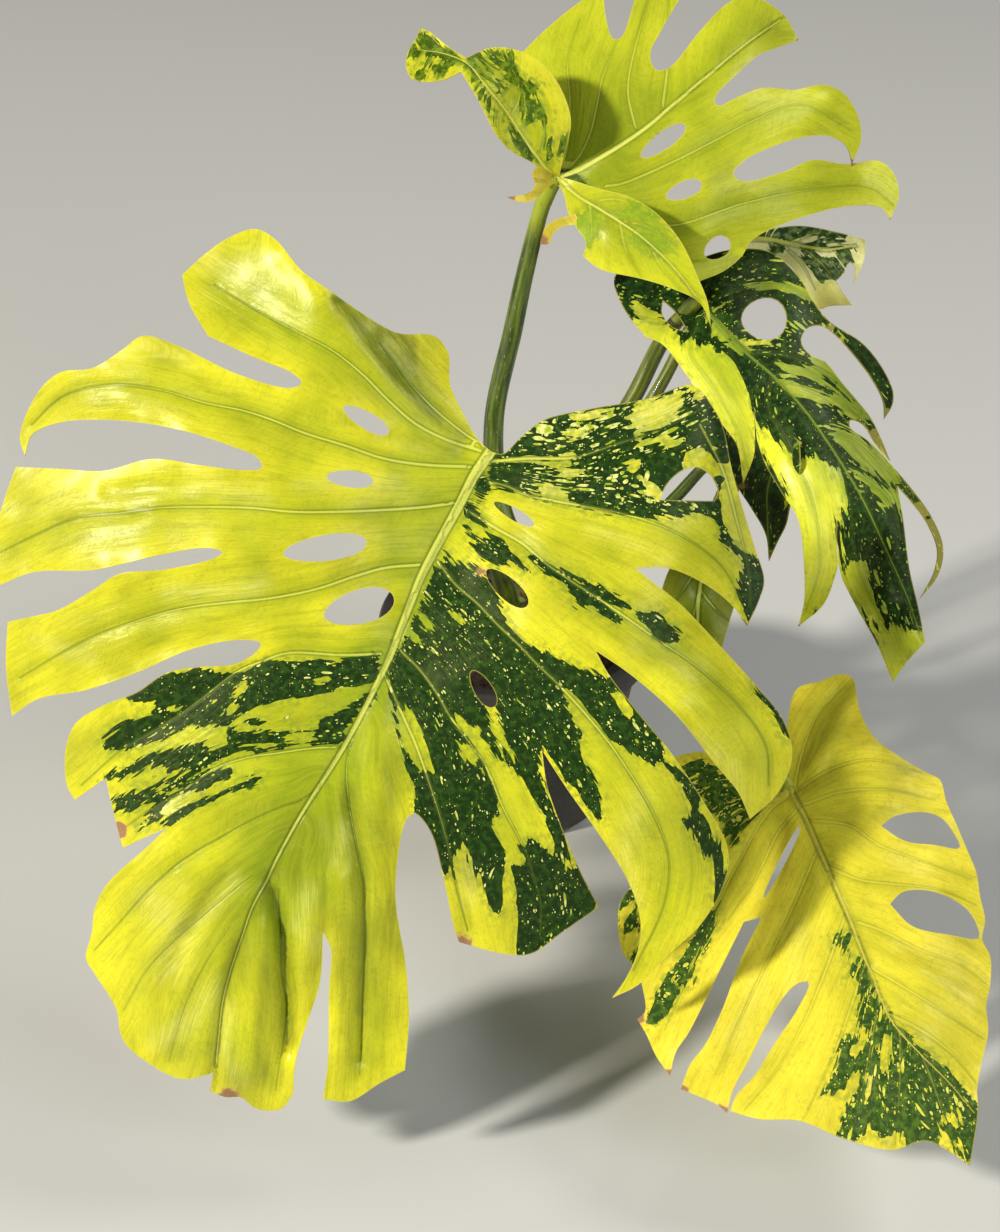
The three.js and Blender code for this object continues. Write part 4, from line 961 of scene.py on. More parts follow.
frontLeaf = {
    "slot": "leaf", "ribWidth": (5.2, 0.4), "ribThinning": 1.25, "ribRise": 1.0,
    "sheets": [{
        "depth": 1250,
        "outline": "492,452 479,441 463,413 450,385 448,353 434,336 397,333 360,312 330,291 301,270 276,240 "
            "256,229 230,237 205,254 182,275 | 189,303 208,336 | 256,358 292,373 302,383 290,388 237,374 "
            "180,347 143,336 122,350 93,368 61,372 42,387 26,415 20,438 25,456 | 32,435 58,423 112,420 "
            "176,429 231,446 258,458 262,468 244,470 199,465 152,459 103,471 64,469 16,467 | 6,495 -4,530 "
            "-8,560 0,585 | 35,572 93,570 160,555 205,548 223,552 212,559 160,570 119,574 93,590 58,610 "
            "30,617 8,622 | 6,665 12,716 | 38,699 86,690 138,672 192,649 240,640 261,643 256,652 235,664 "
            "198,667 166,673 137,692 102,706 76,723 66,748 67,785 75,800 | 89,790 106,778 | 112,806 123,848 "
            "| 146,837 167,828 | 146,848 108,883 95,908 92,932 86,958 95,974 116,1008 123,1040 150,1064 "
            "183,1079 213,1073 | 210,1091 | 226,1097 241,1097 255,1108 281,1109 293,1094 | 296,1060 "
            "308,1020 320,982 323,932 | 331,950 329,988 328,1060 323,1099 | 350,1101 380,1083 405,1070 | "
            "409,1014 405,960 396,905 397,865 406,820 414,813 430,831 443,876 454,928 459,942 | 500,953 "
            "530,954 564,931 599,907 | 579,868 557,815 547,785 542,750 | 563,783 603,840 628,881 640,917 "
            "638,950 626,978 612,998 | 638,985 669,954 700,925 723,886 728,850 700,796 669,750 638,712 "
            "608,673 596,651 | 631,675 677,716 715,764 738,792 750,819 | 779,791 792,755 783,720 756,686 "
            "718,644 679,603 650,580 635,568 | 667,568 703,583 733,606 747,626 | 759,600 764,580 755,549 "
            "740,500 731,467 722,425 705,395 | 692,385 646,399 590,409 544,420 520,438 503,454",
        "holes": "366,420,52,17,30 350,479,47,17,6 325,548,84,26,-8 359,607,72,34,-15 514,514,46,12,30 "
            "507,588,54,21,42 483,689,42,18,58",
        "windows": [
            "660,500 666,486 680,472 696,467 711,476 718,492 714,501 |",
        ],
        "folds": [
            (0.42, "560,150 493,448 472,436 400,390 330,310 300,268 262,222 200,150"),
            (0.9, "900,700 756,632 744,590 731,544 718,493 718,426 708,398 690,330"),
        ],
        "lifts": "492,455,0 449,524,4 399,633,10 345,745,13 297,822,11 252,908,3 222,1005,-8 214,1072,-18 "
            "400,390,9 330,310,12 270,240,0 205,254,-6 188,300,-8 250,330,4 346,446,16 205,403,18 109,385,8 "
            "30,430,-14 150,345,6 120,440,6 336,512,22 205,507,21 90,518,6 -2,545,-18 317,589,22 180,609,18 "
            "80,643,3 12,700,-20 288,653,20 182,713,12 110,740,0 76,790,-20 278,753,17 182,790,10 "
            "118,820,-4 220,838,10 156,883,4 92,945,-16 201,918,2 150,966,-8 120,1024,-24 160,1069,-30 "
            "348,812,10 364,908,1 364,1010,-18 328,1095,-30 400,1068,-28 280,934,-2 288,1005,-13 "
            "262,1105,-34 438,695,15 503,807,10 540,890,-8 462,940,-22 526,952,-26 596,905,-20 497,624,16 "
            "590,719,20 656,819,8 612,996,-26 638,930,-14 727,860,-18 544,562,16 631,621,22 715,695,14 "
            "750,815,-22 790,755,-24 600,509,10 682,536,8 745,622,-22 700,440,-4 574,458,3 618,444,0 "
            "640,402,-10 692,388,-16 544,424,-4",
    }],
    "midrib": "495,446 485,460 474,476 461,502 449,524 433,553 420,579 410,605 399,633 390,657 377,684 "
        "361,716 345,745 329,771 313,796 297,822 281,851 265,883 252,908 243,934 235,956 227,982 222,1005 "
        "219,1033 216,1066",
    "veins": [
        (1.3, "481,451 449,441 417,425 391,403 362,374 333,351 301,334 265,315 215,285"),
        (0.95, "484,446 462,432 435,410 410,384 392,360 380,344"),
        (1.3, "471,467 426,465 385,459 346,446 304,433 272,420 244,411 205,403 160,390 109,385 64,396 "
         "32,425"),
        (1.3, "461,502 426,507 385,510 336,512 295,512 250,508 205,507 160,508 122,513 77,518 32,537 "
         "0,553"),
        (1.3, "420,565 385,568 353,577 317,589 272,598 224,603 180,609 128,624 80,643 20,678"),
        (1.1, "381,654 340,655 288,653 263,661 237,672 204,697 182,713 156,729 124,748 82,785"),
        (0.7, "345,747 316,748 278,753 246,758 214,769 182,790 156,806 122,830"),
        (-0.5, "319,787 304,799 284,806 252,820 220,838 188,857 156,883 124,918 95,950"),
        (-1.3, "285,846 272,862 252,876 201,918 175,940 150,966 124,1010"),
        (-1.6, "262,888 248,906 230,928 205,965 184,1010 170,1060"),
        (0.3, "354,732 347,765 349,805 356,844 363,876 364,908 364,956 363,988 360,1075"),
        (-1.0, "293,832 281,862 279,902 280,934 281,973 286,1005 276,1090"),
        (1.25, "392,642 405,655 420,670 438,695 451,718 467,739 485,765 503,807 515,830 526,853 533,876 "
         "540,901 540,938"),
        (1.3, "384,672 398,705 416,745 430,785 444,830 455,880 468,930"),
        (1.25, "438,562 456,585 477,603 497,624 518,644 538,665 559,685 590,719 613,748 638,786 656,819 "
         "669,858 664,905 634,970"),
        (1.25, "470,512 497,529 523,544 544,562 574,583 600,600 631,621 659,641 690,662 733,700 765,745 "
         "768,785"),
        (1.15, "486,482 503,485 528,495 564,503 600,509 644,520 682,536 720,565 741,600"),
        (1.15, "492,462 523,459 554,459 574,458 618,444 660,430 700,410"),
        (1.2, "700,425 722,470 736,520 748,570 750,605"),
    ],
    "marks": [
        # painted shadow over the basal lobe behind the upper fold
        ("paintedShade", "322,292 340,294 370,313 405,330 416,337 419,365 428,395 446,425 468,446 434,424 388,378 "
         "357,337"),
        ("green", "386,668 400,648 420,605 441,563 478,569 492,582 506,616 520,638 552,656 600,674 628,690 "
         "655,728 664,742 660,764 640,756 618,746 596,722 576,700 566,690 568,706 578,730 583,755 590,772 "
         "598,792 603,820 592,812 572,788 552,760 540,745 540,770 550,796 562,826 580,866 604,905 580,930 "
         "545,950 528,960 518,955 517,915 514,864 524,866 522,842 532,838 552,853 556,846 545,815 535,795 "
         "520,775 500,758 485,740 470,722 452,716 465,737 478,757 488,775 496,792 496,812 492,830 500,848 "
         "503,870 499,915 488,900 475,872 463,842 456,850 452,876 436,862 426,836 414,812 416,792 408,768 "
         "398,735 390,704"),
        ("clear", "398,698 410,710 420,730 428,750 435,772 420,768 408,756 399,742"),
        ("clear", "484,704 490,701 500,722 506,740 514,752 522,768 516,764 503,748 495,728"),
        ("clear", "458,740 468,746 476,763 466,758"),
        ("clear", "612,691 622,693 640,713 630,715 619,704"),
        ("clear", "559,857 568,859 571,873 562,867"),
        ("clear", "419,611 424,615 433,630 428,633 421,622"),
        ("clear", "410,630 414,630 418,643 413,641"),
        ("clear", "450,612 458,610 470,624 466,626"),
        ("green", "662,762 676,767 691,781 702,798 694,809 686,798 679,786 671,774"),
        ("green", "684,822 694,806 706,822 716,842 724,862 732,880 726,900 716,908 714,880 712,862 704,856 "
         "694,840"),
        ("green", "463,508 468,500 478,510 488,528 502,542 514,552 522,560 532,576 522,573 510,562 500,568 "
         "490,562 480,562 475,548 469,535 463,522"),
        ("clear", "470,520 476,524 490,546 484,546 474,532"),
        ("green", "476,478 484,472 490,482 486,496 479,503 475,492"),
        ("green", "440,550 447,552 456,566 446,566"),
        ("green", "532,558 545,565 562,572 578,582 594,594 608,606 621,621 604,616 590,608 580,608 568,594 "
         "554,580 540,568"),
        ("green", "562,566 582,577 612,595 628,608 612,606 590,592 570,580"),
        ("green", "638,615 656,611 668,621 679,638 671,646 656,641 645,628"),
        ("green", "750,676 766,692 782,712 794,738 787,740 775,718 758,697"),
        ("green", "497,455 520,434 544,416 590,404 646,394 692,378 712,395 727,425 731,452 728,465 721,468 "
         "720,486 719,512 680,516 640,516 612,514 580,506 545,500 515,492 494,486 488,470"),
        ("clear", "628,414 642,402 664,395 686,394 680,410 668,424 650,429 630,428"),
        ("clear", "636,440 652,436 662,431 672,436 687,440 686,447 655,447 636,444"),
        ("clear", "496,457 540,457 575,454 573,463 520,463 498,462"),
        ("clear", "536,484 548,481 560,487 567,497 556,499 540,491"),
        ("clear", "555,474 568,469 583,474 570,479"),
        ("clear", "685,455 700,451 712,464 720,482 714,480 702,470 688,467"),
        ("clear", "638,477 655,483 662,491 657,501 650,493"),
        ("clear", "560,429 586,429 581,436 565,436"),
        ("clear", "572,415 612,410 608,416 575,421"),
        ("clear", "620,461 641,459 639,469 625,469"),
        ("clear", "688,384 700,384 708,398 696,402"),
        ("green", "717,519 727,534 736,548 742,558 737,557 725,545"),
        ("green", "740,560 750,553 768,580 762,602 748,630 742,608 736,598"),
        ("green", "378,655 376,680 352,684 330,692 300,698 272,703 250,708 236,716 232,730 210,732 196,726 "
         "182,730 165,738 150,742 158,726 152,714 156,704 130,700 122,697 138,688 150,680 160,672 180,671 "
         "200,670 226,673 242,672 262,661 300,660 340,660"),
        ("green", "228,730 255,731 280,732 305,732 330,722 352,710 360,712 345,728 350,738 330,742 290,743 "
         "262,746 240,744 222,740"),
        ("green", "104,740 120,722 150,716 162,722 150,740 130,752 110,750"),
        ("green", "104,779 130,763 160,754 190,744 215,741 240,744 262,745 285,748 262,755 235,752 215,762 "
         "190,770 160,768 130,777"),
        ("green", "112,812 116,800 150,788 180,775 202,767 190,781 160,793 135,808"),
        ("green", "150,800 180,785 205,776 232,771 225,781 200,791 175,801 150,823 136,833 150,812"),
        ("green", "160,822 185,805 215,792 240,782 266,774 255,784 225,794 195,807 165,825"),
        ("green", "350,706 356,700 380,688 374,700 350,713 322,722 318,716"),
        ("clear", "232,726 236,718 252,710 280,703 315,700 347,702 341,712 322,718 314,727 290,731 262,730 "
         "238,730"),
        ("green", "247,722 256,719 268,724 258,727"),
        ("green", "282,720 290,717 299,721 290,723"),
        ("clear", "227,712 229,700 238,689 250,685 245,694 236,703 232,713"),
        ("clear", "207,710 216,699 219,704 212,712"),
        ("clear", "100,712 112,702 124,699 140,703 156,708 150,714 120,718"),
        ("clear", "163,708 172,706 188,711 176,714"),
        ("clear", "196,738 206,727 225,728 229,742 212,747"),
        ("clear", "284,739 298,731 313,732 320,740 300,744"),
        ("clear", "312,683 324,677 332,678 320,685"),
        ("clear", "300,700 330,691 352,685 372,682 352,690 325,699"),
    ],
    # painted sheen on the yellow, and denser flecks where it crosses the green
    "paintedSheensAndFlecks": [
        ("215,262 262,268", 14, 0.45), ("110,350 150,345 190,362", 10, 0.35), ("30,470 70,476", 8, 0.5),
        ("190,470 225,490 262,500", 12, 0.3), ("170,592 235,592 262,583", 9, 0.5),
        ("90,560 135,555", 9, 0.25), ("152,900 185,935 170,968", 18, 0.45),
        ("215,990 190,1020 160,1040", 12, 0.4), ("236,880 215,905 195,925", 7, 0.5),
        ("310,890 300,925 318,945", 10, 0.4), ("345,830 338,860", 9, 0.35),
        ("228,1010 222,1050 240,1080", 9, 0.4), ("40,640 90,660", 8, 0.3),
        ("640,800 625,850 632,900", 12, 0.35), ("700,740 735,770 740,800", 10, 0.35),
        ("590,530 640,545", 8, 0.3), ("470,860 470,900", 9, 0.4), ("395,480 300,486", 8, 0.25),
        ("530,440 600,425 670,415", 30, 0.75), ("540,480 640,490 690,495", 20, 0.7),
    ],
    "creases": [
        ("272,880 281,930 287,985 288,1050", 9, 4.4), ("262,930 256,990 250,1070", 11, -3.6),
        ("240,945 224,1000 214,1085", 8, 2.8), ("352,800 362,860 365,920 361,1060", 9, 3.6),
        ("337,880 334,960 338,1050", 10, -2.4), ("312,905 304,980 300,1060", 12, -2.2),
        ("255,480 180,485 110,492", 10, 1.6), ("250,560 160,566 60,590", 12, -1.8),
        ("240,630 160,650 80,690", 11, 1.8), ("300,380 220,360 130,345", 12, -2),
        ("465,440 420,395 380,352 345,305", 14, 4.5), ("455,425 400,372 340,300 290,250", 16, -3),
        ("190,900 150,960 150,1000", 16, -3), ("225,880 190,930 160,1000", 10, 2.2),
        ("255,900 225,960 200,1040", 14, -2.5), ("380,690 372,760 385,830", 16, -2.5),
        ("310,830 318,900 308,960", 14, -2.4),
    ],
    # painted shade along folds and valleys, beside the rib and over the lobe ends
    "paintedShades": [
        ("40,420 160,415 260,425", 60, 0.2), ("30,530 160,540 280,550", 60, 0.2),
        ("230,290 330,380", 50, 0.16), ("40,660 160,635 250,615", 50, 0.2),
        ("345,305 385,350 425,392 460,432", 14, 0.5), ("470,476 440,536 404,618 372,682", 8, 0.25),
        ("25,480 12,560", 30, 0.35), ("60,400 110,365 170,360", 18, 0.25), ("25,640 10,690", 30, 0.3),
        ("455,452 400,438 340,415", 8, 0.3), ("90,620 60,690", 24, 0.3), ("60,500 60,545", 22, 0.3),
        ("200,500 120,540", 16, 0.2), ("272,890 281,930 287,985 289,1040", 9, 0.8),
        ("350,790 361,860 365,920 362,1010", 10, 0.6), ("300,815 268,868 245,925 226,985", 16, 0.4),
        ("396,760 384,810 372,850", 14, 0.45), ("530,540 585,565 640,605 710,672", 24, 0.3),
        ("620,555 680,560", 16, 0.2), ("380,830 392,885 390,940", 22, 0.6), ("300,820 296,880", 18, 0.5),
        ("575,545 620,558 665,575", 18, 0.35), ("462,862 470,880", 10, 0.5),
        ("560,595 600,620 645,652", 18, 0.4), ("374,960 368,1060", 14, 0.35),
        ("640,740 690,790 720,840", 8, 0.25), ("75,745 120,725", 18, 0.35), ("120,690 150,672", 8, 0.3),
        ("320,880 322,930 312,980", 10, 0.35), ("420,570 350,588 280,605", 6, 0.25),
        ("455,505 380,513 300,515", 6, 0.25), ("575,640 640,690 700,745", 10, 0.35),
        ("210,960 190,1010 170,1050", 12, 0.3),
    ],
    "tints": "300,300,90,-0.35 400,420,60,-0.3 360,520,70,-0.25 390,640,60,-0.4 300,790,80,-0.35 "
        "300,900,60,-0.35 240,1000,60,0.25 120,950,90,0.25 60,470,60,0.2 60,650,70,0.3 640,560,80,0.15 "
        "560,620,50,0.4 470,550,30,0.5 455,900,45,0.55 500,920,30,0.4 750,760,60,0.2 735,500,60,-0.2 "
        "430,360,50,0.15",
    "burns": "120,830,11 228,1098,14 460,946,17 482,571,6 293,1102,5",
    "look": {"warmth": 0.38},
    "stalk": {
        "radii": [7.5, 6, 5.5, 5, 4.4], "foot": onStem(-102, 131),
        "course": "505,590,1440 493,545,1360 484,492,1290 486,462,1251",
    },
}

topLeaf = {
    "slot": "leaf", "ribWidth": (2.4, 0.6), "ribRise": 0.5, "quilt": 0.8,
    "sheets": [{
        "depth": 1430,
        "outline": "552,178 540,140 528,90 523,52 | 542,33 569,10 603,-14 | 606,18 613,39 621,38 634,2 "
            "645,-28 664,-50 | 684,-46 700,-34 | 676,5 661,31 650,55 656,70 669,68 700,31 728,3 748,-4 "
            "768,3 786,18 798,40 | 779,47 | 759,55 735,76 715,98 717,106 738,97 762,88 793,90 824,85 843,93 "
            "857,114 861,138 852,164 | 846,146 828,136 800,138 769,148 745,160 733,174 742,181 783,172 "
            "812,160 845,164 878,161 892,171 899,195 890,220 | 882,208 850,206 800,218 752,240 742,256 "
            "724,271 700,281 | 670,262 630,232 590,203 562,190",
        "holes": "663,141,54,17,-36 684,190,38,17,-22 717,248,29,21,-35",
        "lifts": "552,178,0 600,150,8 660,170,10 700,230,6 587,90,2 530,60,-18 603,-10,-34 640,60,-4 "
            "680,-40,-48 704,79,2 760,30,-24 796,40,-40 755,120,0 830,100,-22 852,160,-42 745,203,2 "
            "817,185,-14 890,215,-40 735,255,-8 700,278,-6 620,225,2",
    }, {
        "depth": 1430, "ribWidth": (1.4, 0.4), "ribRise": 0.3,
        "outline": "558,181 563,160 571,122 563,93 547,68 528,54 500,47 483,50 466,58 | 445,44 430,32 "
            "420,28 | 416,38 408,52 406,68 412,79 428,82 444,80 461,72 | 478,100 497,136 512,152 534,164 "
            "545,177",
        "lifts": "558,181,-1 550,172,3 571,122,34 563,93,38 528,54,34 500,47,30 466,58,24 461,71,26 "
            "478,100,30 497,136,24 530,160,10 520,100,18 535,130,15 430,32,8 408,60,14 425,80,26 440,60,14",
        "midrib": "560,182 546,168 525,140 505,110 484,84 468,64 445,54 418,50",
        "veins": [
            (1.0, "540,160 545,130 540,100 520,75"),
            (1.0, "510,118 520,95 512,68"),
            (1.0, "500,104 498,128 510,150"),
        ],
        "marks": [
            ("green", "462,64 474,50 494,48 512,58 522,74 540,86 540,96 524,94 508,90 496,82 474,80"),
            ("green", "516,90 532,98 546,112 550,124 538,120 528,124 518,110"),
            ("green", "474,82 486,92 500,112 518,138 536,160 528,162 510,144 492,116 480,98"),
            ("green", "546,142 558,134 566,142 561,156 552,160 544,152"),
            ("clear", "490,96 496,100 512,126 524,146 520,146 504,124"),
            ("green", "410,48 418,31 430,38 446,50 464,62 452,68 438,58 426,56 414,62"),
            ("green", "428,64 440,64 450,70 440,75 430,71"),
            ("green", "409,70 418,70 428,78 418,81"),
            # painted shade at the curl's neck
            ("paintedShade", "464,64 474,54 486,58 488,72 480,80 470,76"),
        ],
        "look": {"lime": (0.34, 0.42, 0.012), "gold": (0.74, 0.72, 0.028), "dark": (0.045, 0.095, 0.005),
            "mid": (0.16, 0.25, 0.01), "flecks": 0.7, "ragged": 8.0, "marble": 1.6, "warmth": 0.6,
            "veil": 0.9, "veins": 0.3},
    }, {
        "depth": 1430, "ribWidth": (1.4, 0.4), "ribRise": 0.3,
        "outline": "556,176 575,181 600,189 630,197 655,212 680,240 697,275 708,303 711,327 | 700,303 "
            "673,289 642,279 600,269 583,256 | 586,243 575,226 568,212 564,195",
        "lifts": "556,178,2 566,190,3 600,191,16 655,214,26 697,275,28 711,327,16 640,240,30 600,230,26 "
            "583,256,18 642,279,26 568,212,10",
        "midrib": "558,178 578,196 604,212 640,236 674,268 698,300 711,326",
        "veins": [
            (1.1, "590,202 620,200 650,215"),
            (1.1, "615,220 650,228 680,250"),
            (1.1, "590,206 592,230 590,252"),
            (1.1, "620,224 626,250 640,276"),
            (1.1, "650,245 662,268 680,288"),
        ],
        "marks": [
            ("green", "580,216 592,210 606,216 600,230 590,246 582,232"),
            ("green", "610,214 630,206 650,208 664,222 676,244 664,252 640,246 622,238 640,234 628,222"),
            ("clear", "606,222 624,226 632,236 616,234"),
        ],
        "look": {"lime": (0.48, 0.56, 0.018), "gold": (0.74, 0.74, 0.03), "dark": (0.24, 0.35, 0.018),
            "mid": (0.33, 0.44, 0.02), "flecks": 0.4, "ragged": 7.0, "marble": 2.0, "warmth": 0.4,
            "veins": 0.3},
    }, {
        "depth": 1430,
        "outline": "558,170 540,166 532,172 535,186 526,194 507,197 | 520,202 533,201 545,190 558,180 |",
        "lifts": "558,170,1 558,180,1 538,172,7 535,190,10 507,197,12",
        "marks": [],
        "burns": "507,197,12 541,242,10",
        "look": {"lime": (0.52, 0.52, 0.03), "gold": (0.7, 0.55, 0.05), "warmth": 0.7},
    }, {
        "depth": 1430,
        "outline": "576,214 558,219 546,226 542,236 540,244 | 549,244 553,234 562,227 580,224 |",
        "lifts": "578,214,15 580,224,16 556,223,12 545,240,10 549,228,14",
        "marks": [],
        "burns": "507,197,12 541,242,10",
        "look": {"lime": (0.52, 0.52, 0.03), "gold": (0.7, 0.55, 0.05), "warmth": 0.7},
    }],
    "midrib": "556,177 574,172 600,158 642,131 672,106 704,79 745,45 780,20",
    "veins": [
        (1.0, "566,170 578,158 590,134 598,100 602,80 617,41 632,0"),
        (1.3, "562,168 568,140 570,100 568,60 580,20"),
        (1.0, "606,186 621,184 673,162 720,138 755,120 800,105 850,130"),
        (1.0, "600,194 640,222 676,225 745,203 817,189 870,188 894,205"),
        (1.1, "640,226 670,250 700,262 730,250"),
        (1.1, "662,112 668,60 668,-30"),
        (1.0, "636,130 628,90 640,30 662,-40"),
    ],
    "marks": [
        ("green", "546,178 560,168 575,172 590,187 575,188 562,184"),
        ("clear", "690,252 697,248 702,260 694,262"),
    ],
    # painted shadow over the middle of the fan
    "paintedShades": [
        ("580,140 640,140 700,150", 60, 0.3), ("620,215 700,215 770,200", 38, 0.3),
    ],
    "tints": "700,250,60,-0.3 620,140,60,-0.2 660,20,70,0.2 840,110,50,0.2",
    "burns": "797,40,4 852,162,4 890,218,4",
    "look": {"lime": (0.35, 0.43, 0.014), "gold": (0.62, 0.65, 0.026), "rib": (0.8, 0.82, 0.16),
        "veins": 0.5, "warmth": 0.3, "flecks": 0.35, "ragged": 6.0, "marble": 3.0,
        "dark": (0.035, 0.075, 0.008), "mid": (0.1, 0.17, 0.012)},
    "stalk": {
        "radii": [6.5, 6.2, 5.8, 5.6, 5, 4.2], "foot": [0, 0.002, 0.176],
        "course": "499,500,1492 494,420,1478 513,330,1462 526,269,1452 545,198,1438 556,177,1430",
    },
}

rightLeaf = {
    "slot": "leaf_green", "ribWidth": (1.8, 0.5), "ribRise": 0.6, "quilt": 0.9,
    "sheets": [{
        "depth": 1440,
        "outline": "690,262 730,250 770,252 798,276 814,303 830,322 862,343 881,366 893,392 892,406 884,419 "
            "| 883,402 872,380 855,357 834,334 822,326 808,328 801,341 809,354 825,362 842,383 858,402 "
            "870,417 880,437 890,461 | 876,445 862,424 850,420 850,428 868,441 892,466 914,492 932,518 "
            "943,548 938,575 919,600 | 934,572 937,549 926,522 912,503 897,486 | 903,519 909,567 919,611 "
            "925,642 | 906,663 893,682 | 876,642 858,610 843,581 | 838,562 836,536 838,508 836,536 838,560 "
            "834,580 823,605 798,627 | 804,602 804,567 798,519 782,493 765,463 757,440 | 754,412 | 755,432 "
            "754,455 743,484 | 737,446 721,423 702,398 680,366 662,344 646,337 | 632,321 619,299 614,280 "
            "624,264 650,256",
        "holes": "764,319,45,42,0",
        "windows": [
            "663,301 675,312 688,332 | 672,327 662,313",
        ],
        "folds": [
            (0.5, "700,200 722,320 742,366 721,347 692,339 660,342 646,341 600,345"),
        ],
        "lifts": "708,300,0 745,352,12 804,410,22 861,497,34 915,620,42 893,678,30 660,345,4 692,362,14 "
            "740,420,22 745,480,10 800,480,32 820,540,30 798,622,10 845,540,26 844,580,16 795,285,-12 "
            "764,319,-4 890,400,-34 850,400,2 888,458,6 942,548,8 920,596,18 620,290,-22 650,260,-26 "
            "730,255,-12 900,560,38",
    }, {
        "depth": 1440, "neverClear": True,
        "outline": "800,442 766,412 740,386 722,374 712,382 720,410 726,450 738,487 750,506 766,535 769,561 "
            "| 777,543 786,525 791,503 800,475",
        "lifts": "800,444,32 798,470,33 786,448,22 766,412,6 738,384,-8 715,385,-22 726,450,-26 738,487,-28 "
            "769,561,-16 791,503,6 760,470,-8",
        "midrib": "800,442 778,460 768,490 768,520 769,558",
        "veins": [
            (1.2, "740,396 752,430 766,470"),
            (1.1, "800,470 784,500"),
        ],
    }],
    "midrib": "700,296 708,312 743,350 779,382 804,410 823,436 842,465 861,497 887,551 906,595 922,640",
    "veins": [
        (1.3, "706,306 722,296 750,287 785,286 812,302 850,340 885,385"),
        (1.3, "748,354 775,354 800,360 830,376 862,406 880,436"),
        (1.3, "778,380 800,384 830,396 858,416"),
        (1.3, "820,432 850,436 880,462 912,500 936,545"),
        (1.2, "842,464 866,478 890,500 900,540"),
        (1.2, "690,300 660,306 636,300"),
        (1.3, "700,320 690,350 712,385 738,430 748,470"),
        (1.2, "772,378 768,405 790,450 812,500 820,560 806,610"),
        (1.2, "838,462 850,510 856,560 880,620"),
    ],
    "marks": [
        ("green", "590,230 980,230 980,720 590,720"),
        ("clear", "640,338 656,340 674,341 694,340 712,346 727,356 739,368 746,384 754,404 759,430 757,462 "
         "743,492 733,446 716,420 696,392 676,364 656,348"),
        ("clear", "636,300 644,306 658,319 672,330 680,337 672,343 656,343 642,332 632,318"),
        ("clear", "709,316 717,318 728,330 738,342 744,357 740,359 731,350 720,342 711,338"),
        ("clear", "757,426 775,438 800,456 825,462 842,478 846,500 838,530 843,560 838,584 822,612 792,632 "
         "798,600 796,560 792,520 784,492 770,466 757,446"),
        ("clear", "838,583 850,562 862,558 873,588 886,612 882,630 866,618 850,598"),
        ("clear", "870,624 895,626 930,638 910,668 890,690 880,660"),
        ("clear", "730,296 742,286 770,282 800,285 816,301 806,300 780,290 750,292"),
        ("clear", "778,364 800,366 812,362 806,372 782,374"),
        ("clear", "800,374 815,359 828,361 842,377 858,396 850,398 835,386 815,379"),
        ("clear", "770,378 800,386 826,394 850,402 876,416 862,420 830,409 800,398"),
        ("clear", "826,428 850,430 880,450 902,478 892,486 870,474 845,452"),
        ("clear", "843,448 860,464 880,484 897,488 905,519 896,512 880,502 862,482"),
        ("clear", "738,340 748,344 752,352 744,350"),
        ("clear", "752,340 768,340 774,344 760,345"),
    ],
    # painted sheen on the yellow, and pale strokes over the green
    "paintedSheensAndFlecks": [
        ("800,330 812,345", 22, 0.55), ("680,360 720,400 742,450", 10, 0.3),
        ("800,480 828,540 815,580", 12, 0.4), ("728,306 760,262 800,268", 16, 0.35),
        ("752,366 790,415 835,490 875,580 900,630", 12, 0.25), ("790,376 840,420 880,470", 12, 0.45),
        ("745,330 800,352", 14, 0.45), ("612,290 640,350", 16, 0.4), ("850,600 880,660", 14, 0.4),
    ],
    # painted shade over the olive lobes, the folds and the strip beside the fold
    "paintedShades": [
        ("735,292 770,284 812,300", 16, 0.85), ("800,352 850,400 882,440", 30, 0.9),
        ("840,440 880,480 905,535", 28, 0.9), ("850,560 866,600", 14, 0.35),
        ("700,345 728,385 745,430 750,470", 6, 0.4), ("636,312 680,336", 9, 0.35),
        ("770,470 785,520 790,580", 8, 0.35), ("712,315 745,358", 9, 0.9), ("870,640 905,655", 14, 0.3),
    ],
    "tints": "740,420,60,0.3 820,520,60,0.2",
    "burns": "743,486,4 798,627,4",
    "look": {"lime": (0.42, 0.52, 0.016), "gold": (0.88, 0.88, 0.04), "dark": (0.004, 0.02, 0.003),
        "mid": (0.02, 0.065, 0.008), "fleck": (0.38, 0.5, 0.08), "rib": (0.17, 0.27, 0.03),
        "olive": (0.13, 0.22, 0.014), "flecks": 1.0, "ragged": 9.0, "marble": 4.0, "warmth": 0.45,
        "veins": 0.5},
    "stalk": {
        "radii": [6.5, 5.6, 5.2, 5, 4.0], "foot": onStem(18, 166),
        "course": "580,480,1500 633,398,1488 664,338,1474 700,297,1442",
        "look": {"limeFrom": 0.95, "green": (0.2, 0.23, 0.016), "deep": (0.07, 0.1, 0.008)},
    },
}

